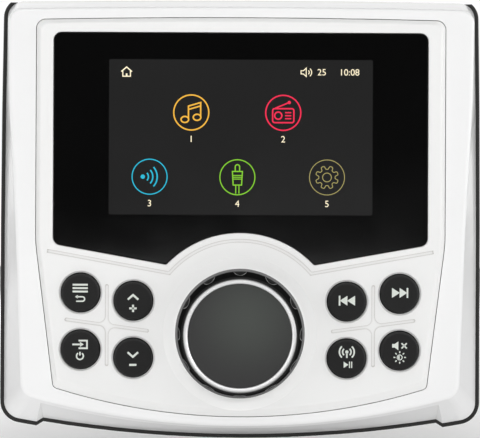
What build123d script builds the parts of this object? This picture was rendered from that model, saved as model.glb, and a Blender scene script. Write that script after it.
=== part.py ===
from build123d import *
from math import atan2, cos, degrees, radians, sin, sqrt, tan
import os

# Dash-mounted marine radio, modelled as separate pieces. All sizes are millimetres.
# X runs to the right, Z up, and the face looks along -Y. Y = 0 is the dash surface.
# A height is a distance from the dash towards the viewer: behind the dash it is negative.

# Display and its window
SCREEN_Z = 20.5
ACTIVE_W = 65.9
ACTIVE_H = 38.8
PANEL_BORDER = 1.75
PANEL_T = 2.0
PANEL_GAP = 0.3
TRAY_BORDER = 2.3
TRAY_T = 3.0
TRAY_CORNER_R = 1.5
FOAM_INSET = 7.0
WINDOW_T = 1.5
WINDOW_GAP = 0.15
WINDOW_SIDE = 13.85
WINDOW_TOP = 6.7
WINDOW_CORNER_DROP = 7.4
WINDOW_SLOPE = 10.2
WINDOW_CORNER_R = 2.0
WINDOW_TIP_R = 0.8
WINDOW_EDGE_R = 0.25
ADHESIVE_T = 0.15
ADHESIVE_INSET = 0.6
ADHESIVE_LAP = 0.8
PANEL_AIR = 0.2

# Knob, turned and pushed
KNOB_DROP = 29.7
KNOB_R = 15.6
KNOB_TOP_R = 14.5
KNOB_H = 11.5
KNOB_WALL = 1.6
KNOB_FRONT_T = 2.0
KNOB_EDGE_R = 0.3
KNOB_TRAVEL = 0.6
SCALLOP_COUNT = 12
SCALLOP_R = 2.2
SCALLOP_DEPTH = 0.85
RING_R = 13.95
RING_W = 1.15
RING_RISE = 1.2
RING_EDGE_R = 0.5
RING_SEAT = 1.2
CAP_RISE = 0.6
HUB_R = 5.2
BASE_RING_R = 16.2
BASE_RING_W = 1.5
BASE_RING_RISE = 1.2
BASE_RING_SEAT = 0.4
DISH_R = 19.25
DISH_DEPTH = 0.7
DISH_FLAT = 0.4
ARC_R = 25.25

# Encoder under the knob
CASE_W = 12.4
CASE_H = 13.4
CASE_T = 5.6
CASE_FLOOR = 1.4
CASE_ROOF = 1.2
CASE_SEAL_T = 0.4
SEAL_R = 5.5
BUSH_R = 3.5
BUSH_PAST_NUT = 1.3
SHAFT_R = 3.0
SHAFT_DEEP = 6.3
SHAFT_FLAT = 2.3
TAIL_R = 2.2
TAIL_FLAT = 1.5
ROTOR_R = 5.0
NUT_AF = 11.0
NUT_T = 2.0
WASHER_R = 6.2
WASHER_T = 0.5
DOME_PUSH_R = 2.3
DOME_PUSH_T = 0.4

# Buttons
BUTTON_R = 4.75
BUTTON_TRAVEL = 0.7
BUTTON_PROUD = 0.5
BUTTON_EDGE_R = 0.5
BUTTON_LIP = 0.95
BUTTON_LIP_T = 1.2
BUTTON_STEM_R = 2.2
BUTTON_INNER_X = 26.7
COLUMN_STEP = 13.2
INNER_TOP_DZ = 8.1
OUTER_TOP_DZ = 10.1
ROW_STEP = 14.2
HALO_W = 0.4
MAT_T = 1.0
MAT_MARGIN = 0.8
MAT_CORNER_R = 4.0
DOME_R = 4.2
DOME_TOP_R = 2.6
DOME_H = 2.8
DOME_WALL = 0.8

# Fascia
FASCIA_SIDE = 4.4
FASCIA_TOP = 3.2
FASCIA_BEND_DZ = 22.6
FASCIA_BOTTOM_SIDE = 6.8
FASCIA_CORNER_DZ = 13.6
FASCIA_SAG = 7.2
FASCIA_CORNER_R = 2.3
FASCIA_BEND_R = 35.0
FASCIA_FOOT_R = 1.4
TOP_CROWN = 0.6
SKIN_T = 2.6
SKIRT_T = 1.8
BEVEL_SIDE = 1.0
BEVEL_BOTTOM = 1.9
FASCIA_PROUD = 1.2
FASCIA_EDGE_R = 0.6
GROOVE_W = 0.9
GROOVE_DEPTH = 0.35
ACCENT_GAP = 2.0
ACCENT_PAST = 1.5
CROSS_H = 20.5
CROSS_W = 21.3
CROSS_SLOPE = 7.7
CROSS_FILLET = 1.6
BOSS_R = 2.8
PEG_R = 2.2
BOSS_GAP = 0.4
LOWER_BOSS_X = 20.5

# Surround
PARTING_GAP = 0.18
FACE_TOP_SIDE = 7.3
FACE_SHOULDER_SIDE = 6.8
FACE_WAIST_SIDE = 5.0
FACE_BOTTOM_SIDE = 8.0
FACE_TOP = 2.7
FACE_CORNER_DROP = 1.7
FACE_SAG = 7.75
SHOULDER_Z = 28.0
WAIST_Z = -2.0
FACE_CORNER_R = 3.5
FACE_FOOT_R = 4.0
SIDE_BLEND_R = 400.0
FLARE_TOP_SIDE = 0.85
FLARE_SHOULDER = 1.75
FLARE_WAIST = 3.75
FLARE_BOTTOM = 5.25
FLARE_TOP = 2.6
FLARE_CORNER_DROP = 6.3
BASE_SAG = 5.75
BASE_CORNER_R = 4.0
BASE_FOOT_R = 4.5
SURROUND_EDGE_R = 1.0
SURROUND_WALL = 2.0
SURROUND_INNER_WALL = 1.2
NOTCH_X = 50.0
NOTCH_SLANT = 1.6
NOTCH_DEPTH = 1.3
NOTCH_LAND = 0.3
CLIP_W = 7.0
CLIP_T = 1.2
CLIP_Z = 22.0
CLIP_GAP = 0.3
CLIP_DEEP = 2.0

# Front frame and dash gasket
GASKET_T = 2.0
FRAME_T = 3.0
RIM_GROW = 1.05
RIM_NOTCH_DEPTH = 1.35
RIM_TUCK = 0.1
RIM_EDGE_R = 0.5
LIP_T = 1.2
LIP_H = 1.2
LIP_GAP = 0.3
SKIRT_SEAL_T = 0.8
SKIRT_SEAL_INSET = 0.3
FLANGE_HOLE_R = 2.1
FLANGE_SINK_R = 3.4
SINK_ANGLE = 90
FLANGE_HOLE_OUT = 3.4
FLANGE_HOLE_DROP = 4.8
FLANGE_HOLE_LOW = 2.8
GASKET_HOLE_R = 2.6
GASKET_BORE_GAP = 0.3

# Front board
BOARD_BACK_GAP = 1.8
BOARD_T = 1.6
BOARD_EDGE_GAP = 0.8
BOSS_CLEAR = 0.4

# Barrel behind the dash
BARREL_R = 42.0
BARREL_WALL = 2.5
BARREL_DEPTH = 38.0
BARREL_FLANGE = 4.0
POST_R = 4.0
POST_SINK = 1.0
REAR_POST_H = 7.0
SEAL_W = 1.2
SEAL_T = 0.9
SEAL_INSET = 0.65
FLANGE_SEAL_INSET = 1.4

# Heat sink
SINK_T = 4.0
SINK_INSET = 0.5
SINK_EDGE_R = 0.8
FIN_T = 2.0
FIN_SIDE = 12.4
FIN_COUNT = 9
FIN_H = 10.0
FIN_INSET = 1.6
FIN_FLOOR_Z = 4.0
FIN_RELIEF_R = 4.4

# Main board and what it carries. A share is a part of the barrel's radius, or of the run of the ribbon.
MAIN_T = 1.6
MAIN_SETBACK = 14.0
MAIN_EDGE_GAP = 0.8
CHIP_W = 22.0
CHIP_H = 16.0
CHIP_T = 4.0
CHIP_Z_SHARE = 14.0 / 42.0
PAD_T = 0.4
PEDESTAL_BORDER = 1.0
TUNER_W_SHARE = 24.0 / 42.0
TUNER_H_SHARE = 18.0 / 42.0
TUNER_T = 9.0
TUNER_X_SHARE = -16.0 / 42.0
TUNER_Z_SHARE = 16.0 / 42.0
TUNER_EDGE_R = 1.0
CAPACITOR_R = 5.0
CAPACITOR_H = 17.0
CAPACITOR_GAP = 1.0
CAPACITOR_X_SHARE = 15.0 / 42.0
CAPACITOR_Z_SHARE = 17.0 / 42.0
CAPACITOR_RIM_R = 0.6
RIBBON_W = 20.0
RIBBON_T = 0.5
RIBBON_Z = -6.0
RIBBON_BOW_SHARE = 5.0 / 24.0
RIBBON_LEAD_SHARE = 4.0 / 24.0
RIBBON_BEND_SHARE = 6.0 / 24.0
PLUG_W = 22.0
PLUG_H = 5.0
PLUG_T = 3.4
PLUG_GAP = 1.0

# Rear sockets
HARNESS_W_SHARE = 24.0 / 42.0
HARNESS_H = 12.0
HARNESS_Z_SHARE = -18.5 / 42.0
HARNESS_WALL = 1.2
HARNESS_PAST = 5.0
HARNESS_DEEP = 12.0
PIN_SIZE = 1.0
PIN_SIDE = 3.0
PIN_ROW_STEP = 4.0
PIN_COLUMNS = 7
PIN_LENGTH = 5.5
SOCKET_GAP = 0.3
AERIAL_X_SHARE = -24.0 / 42.0
AERIAL_Z_SHARE = -17.0 / 42.0
AERIAL_R = 6.0
AERIAL_BORE_R = 4.6
AERIAL_BORE_DEEP = 10.0
AERIAL_PAST = 8.0
AERIAL_FLANGE = 1.5
AERIAL_FLANGE_T = 1.4
AERIAL_PLUG_R = 3.6
AERIAL_PLUG_T = 2.0
AERIAL_CONTACT_R = 1.0
LINE_R = 4.15
LINE_WALL = 0.7
LINE_PAST = 9.0
LINE_FLANGE = 1.6
LINE_FLANGE_T = 1.2
LINE_CONTACT_R = 1.65
LINE_CONTACT_DEEP = 6.0
LINE_LOW_X_SHARE = 21.0 / 42.0
LINE_LOW_Z_SHARE = -24.0 / 42.0
LINE_HIGH_X_SHARE = 28.0 / 42.0
LINE_HIGH_Z_SHARE = -11.0 / 42.0
TAIL_IN = 2.0

# Screws and fits
SCREW_R = 1.2
SCREW_HEAD_R = 2.4
SCREW_HEAD_T = 1.2
SCREW_BITE = 6.0
SCREW_ROOM = 0.6
PILOT_GAP = 0.05
THROUGH_GAP = 0.3
HEAD_GAP = 0.2
SLIP_GAP = 0.05
LOOSE_GAP = 0.3
TRIM_R = 0.4
LEVEL_ROOM = 0.02


def front(height, x=0.0, z=0.0):
    """Plane that faces the viewer at a height, centred on a point of the face."""
    return Plane(origin=(x, -height, z), x_dir=(1, 0, 0), z_dir=(0, -1, 0))


def rear(height, x=0.0, z=0.0):
    """Plane that faces away from the viewer, with X still running to the right."""
    return Plane(origin=(x, -height, z), x_dir=(1, 0, 0), z_dir=(0, 1, 0))


def arc_z(x, half, corner_z, sag):
    """Height on the face of a sagging arc between two corners, at a given x."""
    radius = (half**2 + sag**2) / (2 * sag)
    return corner_z - sag + radius - sqrt(radius**2 - x**2)


def both_sides(points):
    """Each point and its mirror image across the middle of the face."""
    return [(side * x, z) for x, z in points for side in (1, -1)]


def round_corners(outline, level, radius):
    """Round the corners of an outline that lie at a level."""
    corners = outline.vertices().filter_by_position(Axis.Y, level - LEVEL_ROOM, level + LEVEL_ROOM)
    fillet(corners, radius)


def shield(corners, sag, top_r, side_r, bottom_r):
    """Closed outline with a crowned top, bent sides and a sagging bottom, from its right corners."""
    right = list(corners)
    left = [(-x, z) for x, z in reversed(right)]
    with BuildSketch() as outline:
        with BuildLine():
            ThreePointArc(left[-1], (0, right[0][1] + TOP_CROWN), right[0])
            Polyline(*right)
            ThreePointArc(right[-1], (0, right[-1][1] - sag), left[0])
            Polyline(*left)
        make_face()
        radii = [top_r] + [side_r] * (len(right) - 2) + [bottom_r]
        for (_, level), radius in zip(right, radii):
            round_corners(outline, level, radius)
    return outline.sketch


def write(builder, name):
    """Label a finished piece and write it out."""
    builder.part.label = name
    export_step(builder.part, f"parts/{name}.step")


# Heights of the stack, from the dash towards the viewer
frame_back = GASKET_T
frame_front = frame_back + FRAME_T
skirt_end = frame_front + SKIRT_SEAL_T
board_back = frame_front + BOARD_BACK_GAP
board_front = board_back + BOARD_T
case_front = board_front + CASE_T
skin_back = case_front + CASE_SEAL_T
fascia_front = skin_back + SKIN_T
surround_front = fascia_front - FASCIA_PROUD
window_back = fascia_front - WINDOW_T
window_floor = window_back - ADHESIVE_T
panel_front = window_back - PANEL_AIR
panel_back = panel_front - PANEL_T
tray_back = panel_back - TRAY_T
dish_floor = fascia_front - DISH_DEPTH
base_ring_back = dish_floor - BASE_RING_SEAT
base_ring_front = dish_floor + BASE_RING_RISE
washer_front = dish_floor + WASHER_T
nut_front = washer_front + NUT_T
bush_front = nut_front + BUSH_PAST_NUT
knob_back = base_ring_front + KNOB_TRAVEL + LOOSE_GAP
knob_front = knob_back + KNOB_H
ring_seat = knob_front - RING_SEAT
hub_back = bush_front + KNOB_TRAVEL + LOOSE_GAP
knob_roof = ring_seat - KNOB_FRONT_T
rotor_back = board_front + CASE_FLOOR + LOOSE_GAP
rotor_front = case_front - CASE_ROOF - LOOSE_GAP
tail_back = board_front + DOME_PUSH_T + KNOB_TRAVEL + HEAD_GAP
shaft_step = rotor_front + KNOB_TRAVEL + LOOSE_GAP
lip_front = skin_back - LOOSE_GAP
lip_back = lip_front - BUTTON_LIP_T
dome_top = board_front + MAT_T + DOME_H
button_front = fascia_front + BUTTON_TRAVEL + BUTTON_PROUD
barrel_back = -BARREL_DEPTH
main_front = barrel_back + MAIN_SETBACK
main_back = main_front - MAIN_T
sink_back = barrel_back - SINK_T
pedestal_front = main_back - CHIP_T - PAD_T

# Places on the face, worked outwards from the display and the knob
screen_bottom = SCREEN_Z - ACTIVE_H / 2
knob_z = screen_bottom - KNOB_DROP
panel_w = ACTIVE_W + 2 * PANEL_BORDER
panel_h = ACTIVE_H + 2 * PANEL_BORDER
tray_w = panel_w + 2 * TRAY_BORDER
tray_h = panel_h + 2 * TRAY_BORDER
window_half = ACTIVE_W / 2 + WINDOW_SIDE
window_top = SCREEN_Z + ACTIVE_H / 2 + WINDOW_TOP
window_corner_z = screen_bottom - WINDOW_CORNER_DROP
fascia_half = window_half + FASCIA_SIDE
fascia_top = window_top + FASCIA_TOP
fascia_bend = knob_z + FASCIA_BEND_DZ
button_outer_x = BUTTON_INNER_X + COLUMN_STEP
fascia_foot_half = button_outer_x + FASCIA_BOTTOM_SIDE
fascia_foot_z = knob_z - FASCIA_CORNER_DZ
face_foot_half = fascia_foot_half + FACE_BOTTOM_SIDE
face_foot_z = fascia_foot_z - FACE_CORNER_DROP
base_foot_half = face_foot_half + FLARE_BOTTOM
base_foot_z = face_foot_z - FLARE_CORNER_DROP
buttons = {
    "button_menu": (-button_outer_x, knob_z + OUTER_TOP_DZ),
    "button_source": (-button_outer_x, knob_z + OUTER_TOP_DZ - ROW_STEP),
    "button_channel_up": (-BUTTON_INNER_X, knob_z + INNER_TOP_DZ),
    "button_channel_down": (-BUTTON_INNER_X, knob_z + INNER_TOP_DZ - ROW_STEP),
    "button_previous": (BUTTON_INNER_X, knob_z + INNER_TOP_DZ),
    "button_band": (BUTTON_INNER_X, knob_z + INNER_TOP_DZ - ROW_STEP),
    "button_next": (button_outer_x, knob_z + OUTER_TOP_DZ),
    "button_mute": (button_outer_x, knob_z + OUTER_TOP_DZ - ROW_STEP),
}
button_points = list(buttons.values())
group_x = (BUTTON_INNER_X + button_outer_x) / 2
group_z = knob_z + (INNER_TOP_DZ + OUTER_TOP_DZ - ROW_STEP) / 2
mat_w = COLUMN_STEP + 2 * (DOME_R + MAT_MARGIN)
mat_h = ROW_STEP + abs(OUTER_TOP_DZ - INNER_TOP_DZ) + 2 * (DOME_R + MAT_MARGIN)
boss_inset = SKIRT_T + BOSS_GAP + BOSS_R
peg_inset = SKIRT_T + BOSS_GAP + PEG_R
lower_boss_z = arc_z(LOWER_BOSS_X, fascia_foot_half, fascia_foot_z, FASCIA_SAG) + boss_inset
lower_peg_z = fascia_foot_z - FASCIA_SAG + peg_inset
side_peg_x = (tray_w / 2 + fascia_half - SKIRT_T) / 2
bosses = both_sides(
    [
        (fascia_half - boss_inset, fascia_top - boss_inset),
        (fascia_half - boss_inset, fascia_bend + BOSS_R),
        (LOWER_BOSS_X, lower_boss_z),
    ]
)
pegs = both_sides([(side_peg_x, SCREEN_Z)]) + [(0, lower_peg_z)]
board_notch = boss_inset + BOSS_R + BOSS_CLEAR
board_corners = both_sides([(fascia_half - board_notch / 2, fascia_top - board_notch / 2)])
flange_x = fascia_half + FLANGE_HOLE_OUT
flange_holes = both_sides(
    [
        (flange_x, fascia_top - FLANGE_HOLE_DROP),
        (flange_x, fascia_foot_z - FLANGE_HOLE_LOW),
    ]
)
clip_x = fascia_half + PARTING_GAP + SURROUND_INNER_WALL / 2
clips = both_sides([(clip_x, CLIP_Z), (clip_x, WAIST_Z)])
post_radius = BARREL_R - BARREL_WALL - POST_R + POST_SINK
posts = [(0, post_radius), (0, -post_radius), (post_radius, 0), (-post_radius, 0)]
chip_z = BARREL_R * CHIP_Z_SHARE
tuner_place = (BARREL_R * TUNER_X_SHARE, BARREL_R * TUNER_Z_SHARE)
capacitor_place = (BARREL_R * CAPACITOR_X_SHARE, BARREL_R * CAPACITOR_Z_SHARE)
capacitor_step = 2 * CAPACITOR_R + CAPACITOR_GAP
harness_w = BARREL_R * HARNESS_W_SHARE
harness_z = BARREL_R * HARNESS_Z_SHARE
pin_step = (harness_w - 2 * HARNESS_WALL - 2 * PIN_SIDE) / (PIN_COLUMNS - 1)
aerial_place = (BARREL_R * AERIAL_X_SHARE, BARREL_R * AERIAL_Z_SHARE)
line_points = [
    (BARREL_R * LINE_LOW_X_SHARE, BARREL_R * LINE_LOW_Z_SHARE),
    (BARREL_R * LINE_HIGH_X_SHARE, BARREL_R * LINE_HIGH_Z_SHARE),
]
fin_step = 2 * (BARREL_R - FIN_SIDE) / (FIN_COUNT - 1)
pilot_r = SCREW_R + PILOT_GAP
through_r = SCREW_R + THROUGH_GAP
head_room_r = SCREW_HEAD_R + HEAD_GAP
knob_axis = Axis((0, 0, knob_z), (0, -1, 0))
knob_section = Plane(origin=(0, 0, knob_z), x_dir=(1, 0, 0), z_dir=(0, 0, -1))


def meet_arc(drop):
    """Where the window's sloping lower edge, moved down by a drop, meets the arc round the knob."""
    slope = radians(WINDOW_SLOPE)
    radius = ARC_R - drop
    x0 = window_half + drop * sin(slope)
    z0 = window_corner_z - drop * cos(slope) - knob_z
    along = x0 * cos(slope) + z0 * sin(slope)
    run = along - sqrt(along**2 - (x0**2 + z0**2 - radius**2))
    return x0 - run * cos(slope), z0 + knob_z - run * sin(slope)


def window_outline():
    """Display window: rounded top, sloping lower edges and a scoop concentric with the knob."""
    tip = meet_arc(0)
    with BuildSketch() as outline:
        with BuildLine():
            Polyline(
                tip,
                (window_half, window_corner_z),
                (window_half, window_top),
                (-window_half, window_top),
                (-window_half, window_corner_z),
                (-tip[0], tip[1]),
            )
            ThreePointArc((-tip[0], tip[1]), (0, knob_z + ARC_R), tip)
        make_face()
        round_corners(outline, tip[1], WINDOW_TIP_R)
        round_corners(outline, window_corner_z, WINDOW_CORNER_R)
        round_corners(outline, window_top, WINDOW_CORNER_R)
    return outline.sketch


def fascia_shape(side=0.0, top=0.0, bottom=0.0):
    """Fascia outline, drawn in by an amount at its sides, top and bottom."""
    corners = [
        (fascia_half - side, fascia_top - top),
        (fascia_half - side, fascia_bend),
        (fascia_foot_half - side, fascia_foot_z + bottom),
    ]
    return shield(corners, FASCIA_SAG, FASCIA_CORNER_R, FASCIA_BEND_R, FASCIA_FOOT_R)


def accent_shape():
    """Groove that runs below the window's sloping edges and over the knob."""
    joint_x, joint_z = meet_arc(ACCENT_GAP)
    end_x = window_half + ACCENT_PAST
    end_z = joint_z + (end_x - joint_x) * tan(radians(WINDOW_SLOPE))
    with BuildSketch() as accent:
        with BuildLine():
            Line((-end_x, end_z), (-joint_x, joint_z))
            ThreePointArc((-joint_x, joint_z), (0, knob_z + ARC_R - ACCENT_GAP), (joint_x, joint_z))
            Line((joint_x, joint_z), (end_x, end_z))
        trace(line_width=GROOVE_W)
    return accent.sketch


def cross_shape(side):
    """Cross between four buttons, with its level arm lower towards the knob and a soft junction."""
    centre = (side * group_x, group_z)
    with BuildSketch() as cross:
        with Locations(centre):
            SlotOverall(CROSS_H, GROOVE_W, rotation=90)
            SlotOverall(CROSS_W, GROOVE_W, rotation=side * CROSS_SLOPE)
        fillet(cross.vertices().sort_by_distance((*centre, 0))[:4], CROSS_FILLET)
    return cross.sketch


def d_section(radius, flat):
    """Round section with a flat on its right side."""
    with BuildSketch() as section:
        Circle(radius)
        with Locations((flat + radius, 0)):
            Rectangle(2 * radius, 2 * radius, mode=Mode.SUBTRACT)
    return section.sketch


window_shape = window_outline()
fascia_outline = fascia_shape()
face_corners = [
    (fascia_half + FACE_TOP_SIDE, fascia_top + FACE_TOP),
    (fascia_half + FACE_SHOULDER_SIDE, SHOULDER_Z),
    (fascia_half + FACE_WAIST_SIDE, WAIST_Z),
    (face_foot_half, face_foot_z),
]
face_outline = shield(face_corners, FACE_SAG, FACE_CORNER_R, SIDE_BLEND_R, FACE_FOOT_R)
base_top_z = face_corners[0][1] + FLARE_TOP


def base_shape(lift):
    """Back edge of the surround, with its lower arc lifted by an amount."""
    flares = [FLARE_TOP_SIDE, FLARE_SHOULDER, FLARE_WAIST]
    corners = [(x + flare, z) for (x, z), flare in zip(face_corners, flares)]
    corners[0] = (corners[0][0], base_top_z)
    corners.append((base_foot_half, base_foot_z + lift))
    return shield(corners, BASE_SAG, BASE_CORNER_R, SIDE_BLEND_R, BASE_FOOT_R)


def notch_arc(lift):
    """Lower arc between the feet, as the depth of the notch and the height of its middle."""
    return arc_z(NOTCH_X, base_foot_half, base_foot_z + lift, BASE_SAG), base_foot_z + lift - BASE_SAG


def notch_profile(end_z, middle_z, slant):
    """Area below an arc between the feet, with ends that lean outwards going down."""
    floor_z = base_foot_z - 3 * BASE_SAG
    spread = NOTCH_X + slant * (end_z - floor_z)
    with BuildSketch() as area:
        with BuildLine():
            ThreePointArc((-NOTCH_X, end_z), (0, middle_z), (NOTCH_X, end_z))
            Polyline((NOTCH_X, end_z), (spread, floor_z), (-spread, floor_z), (-NOTCH_X, end_z))
        make_face()
    return area.sketch


base_outline = base_shape(0)
raised_outline = base_shape(NOTCH_DEPTH)
base_notch = notch_profile(*notch_arc(NOTCH_DEPTH), NOTCH_SLANT)
face_notch_end = arc_z(NOTCH_X, face_foot_half, face_foot_z, FACE_SAG) - NOTCH_LAND
face_notch = notch_profile(face_notch_end, face_foot_z - FACE_SAG - NOTCH_LAND, NOTCH_SLANT)
rim_notch = notch_profile(*notch_arc(RIM_NOTCH_DEPTH - RIM_GROW), NOTCH_SLANT)
with BuildSketch() as rim:
    add(base_outline)
    offset(amount=RIM_GROW)
    add(rim_notch, mode=Mode.SUBTRACT)
    with Locations((0, base_top_z - RIM_TUCK)):
        Rectangle(4 * base_foot_half, 4 * BASE_SAG, align=(Align.CENTER, Align.MIN), mode=Mode.SUBTRACT)
rim_outline = rim.sketch

os.makedirs("parts", exist_ok=True)

# Surround: sloped white trim that clips over the frame, hollow behind, with a pry notch below
with BuildPart() as surround_hollow:
    with BuildSketch(front(frame_front)):
        offset(raised_outline, amount=-SURROUND_WALL)
    with BuildSketch(front(surround_front - SURROUND_WALL)):
        offset(face_outline, amount=-SURROUND_WALL)
    loft(ruled=True)
    with BuildSketch(front(frame_front)):
        offset(fascia_outline, amount=PARTING_GAP + SURROUND_INNER_WALL)
    extrude(amount=surround_front - frame_front, mode=Mode.SUBTRACT)
with BuildPart() as surround_notch:
    with BuildSketch(front(frame_front)):
        add(base_notch)
    with BuildSketch(front(surround_front)):
        add(face_notch)
    loft(ruled=True)
with BuildPart() as surround:
    with BuildSketch(front(frame_front)):
        add(base_outline)
    with BuildSketch(front(surround_front)):
        add(face_outline)
    loft(ruled=True)
    fillet(surround.faces().sort_by(Axis.Y)[0].edges(), SURROUND_EDGE_R)
    add(surround_notch.part, mode=Mode.SUBTRACT)
    add(surround_hollow.part, mode=Mode.SUBTRACT)
    with BuildSketch(front(frame_front)):
        offset(fascia_outline, amount=PARTING_GAP)
    extrude(amount=surround_front - frame_front, mode=Mode.SUBTRACT)
    with BuildSketch(front(frame_front - CLIP_DEEP)):
        with Locations(*clips):
            Rectangle(CLIP_T, CLIP_W)
    extrude(amount=CLIP_DEEP + SURROUND_INNER_WALL)
write(surround, "surround")

# Fascia: front moulding with a bevelled edge, skirt, button holes, dish and window pocket
with BuildPart() as fascia:
    with BuildSketch(front(skirt_end)):
        add(fascia_outline)
    extrude(amount=surround_front - skirt_end)
    with BuildSketch(front(surround_front)):
        add(fascia_outline)
    with BuildSketch(front(fascia_front)):
        add(fascia_shape(BEVEL_SIDE, BEVEL_SIDE, BEVEL_BOTTOM))
    loft(ruled=True)
    fillet(fascia.faces().sort_by(Axis.Y)[0].edges(), FASCIA_EDGE_R)
    with BuildSketch(front(skirt_end)):
        offset(fascia_outline, amount=-SKIRT_T)
    extrude(amount=skin_back - skirt_end, mode=Mode.SUBTRACT)
    with BuildSketch(front(skin_back)):
        with Locations(*bosses):
            Circle(BOSS_R)
    extrude(amount=frame_front - skin_back)
    with BuildSketch(front(skin_back)):
        with Locations(*pegs):
            Circle(PEG_R)
    extrude(amount=board_front - skin_back)
    with Locations(*[rear(frame_front, x, z) for x, z in bosses]):
        Hole(pilot_r, depth=SCREW_BITE + SCREW_ROOM)
    with Locations(*[rear(board_front, x, z) for x, z in pegs]):
        Hole(pilot_r, depth=SCREW_BITE + SCREW_ROOM - BOARD_T)
    with BuildSketch(front(window_floor)):
        offset(window_shape, amount=WINDOW_GAP)
    extrude(amount=fascia_front - window_floor, mode=Mode.SUBTRACT)
    with BuildSketch(front(skin_back, 0, SCREEN_Z)):
        Rectangle(panel_w + 2 * PANEL_GAP, panel_h + 2 * PANEL_GAP)
    extrude(amount=SKIN_T, mode=Mode.SUBTRACT)
    with Locations(*[front(fascia_front, x, z) for x, z in button_points]):
        CounterSinkHole(BUTTON_R + LOOSE_GAP, BUTTON_R + LOOSE_GAP + HALO_W, depth=SKIN_T + LOOSE_GAP)
    with BuildSketch(front(dish_floor, 0, knob_z)) as dish_bottom:
        Circle(BASE_RING_R + DISH_FLAT)
    with BuildSketch(front(fascia_front, 0, knob_z)) as dish_top:
        Circle(DISH_R)
    loft([dish_bottom.sketch, dish_top.sketch], ruled=True, mode=Mode.SUBTRACT)
    with BuildSketch(front(base_ring_back, 0, knob_z)):
        Circle(BASE_RING_R + SLIP_GAP)
        Circle(BASE_RING_R - BASE_RING_W - SLIP_GAP, mode=Mode.SUBTRACT)
    extrude(amount=BASE_RING_SEAT, mode=Mode.SUBTRACT)
    with BuildSketch(front(skin_back, 0, knob_z)):
        Circle(BUSH_R + HEAD_GAP)
    extrude(amount=SKIN_T, mode=Mode.SUBTRACT)
    with BuildSketch(front(fascia_front - GROOVE_DEPTH)):
        add(accent_shape())
        add(cross_shape(-1))
        add(cross_shape(1))
    extrude(amount=GROOVE_DEPTH, mode=Mode.SUBTRACT)
write(fascia, "fascia")

# Display window with its adhesive frame
with BuildPart() as display_window:
    with BuildSketch(front(window_back)):
        add(window_shape)
    extrude(amount=WINDOW_T)
    chamfer(display_window.faces().sort_by(Axis.Y)[0].edges(), WINDOW_EDGE_R)
write(display_window, "display_window")

with BuildPart() as window_adhesive:
    with BuildSketch(front(window_floor)):
        offset(window_shape, amount=-ADHESIVE_INSET)
        with Locations((0, SCREEN_Z)):
            Rectangle(panel_w + 2 * ADHESIVE_LAP, panel_h + 2 * ADHESIVE_LAP, mode=Mode.SUBTRACT)
    extrude(amount=ADHESIVE_T)
write(window_adhesive, "window_adhesive")

# Display panel, its backlight tray, the gasket round it and the pad behind it
with BuildPart() as display_panel:
    with BuildSketch(front(panel_back, 0, SCREEN_Z)):
        Rectangle(panel_w, panel_h)
    extrude(amount=PANEL_T)
write(display_panel, "display_panel")

with BuildPart() as backlight_tray:
    with BuildSketch(front(tray_back, 0, SCREEN_Z)):
        RectangleRounded(tray_w, tray_h, TRAY_CORNER_R)
    extrude(amount=TRAY_T)
    chamfer(backlight_tray.faces().sort_by(Axis.Y)[-1].edges(), TRIM_R)
write(backlight_tray, "backlight_tray")

with BuildPart() as display_gasket:
    with BuildSketch(front(panel_back, 0, SCREEN_Z)):
        RectangleRounded(tray_w, tray_h, TRAY_CORNER_R)
        Rectangle(panel_w + 2 * ADHESIVE_LAP, panel_h + 2 * ADHESIVE_LAP, mode=Mode.SUBTRACT)
    extrude(amount=skin_back - panel_back)
write(display_gasket, "display_gasket")

with BuildPart() as display_pad:
    with BuildSketch(front(board_front, 0, SCREEN_Z)):
        RectangleRounded(panel_w - 2 * FOAM_INSET, panel_h - 2 * FOAM_INSET, TRAY_CORNER_R)
    extrude(amount=tray_back - board_front)
write(display_pad, "display_pad")

# Front board, with holes for the fascia's bosses and for its own screws
with BuildPart() as front_board:
    with BuildSketch(front(board_back)):
        offset(fascia_outline, amount=-SKIRT_T - BOARD_EDGE_GAP)
        with Locations(*bosses):
            Circle(BOSS_R + BOSS_CLEAR, mode=Mode.SUBTRACT)
        with Locations(*board_corners):
            Rectangle(board_notch, board_notch, mode=Mode.SUBTRACT)
        with Locations(*pegs):
            Circle(through_r, mode=Mode.SUBTRACT)
    extrude(amount=BOARD_T)
write(front_board, "front_board")

# Keypad mats: a silicone sheet on each side, with a hollow dome under each button
dome_taper = degrees(atan2(DOME_R - DOME_TOP_R, DOME_H))
for side, name in ((-1, "keypad_mat_left"), (1, "keypad_mat_right")):
    keys = [(x, z) for x, z in button_points if x * side > 0]
    with BuildPart() as keypad_mat:
        with BuildSketch(front(board_front, side * group_x, group_z)):
            RectangleRounded(mat_w, mat_h, MAT_CORNER_R)
        extrude(amount=MAT_T)
        with BuildSketch(front(board_front + MAT_T)):
            with Locations(*keys):
                Circle(DOME_R)
        extrude(amount=DOME_H, taper=dome_taper)
        with BuildSketch(front(board_front)):
            with Locations(*keys):
                Circle(DOME_R - DOME_WALL)
        extrude(amount=MAT_T, mode=Mode.SUBTRACT)
        with BuildSketch(front(board_front + MAT_T)):
            with Locations(*keys):
                Circle(DOME_R - DOME_WALL)
        extrude(amount=DOME_H - DOME_WALL, taper=dome_taper, mode=Mode.SUBTRACT)
    write(keypad_mat, name)

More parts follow.
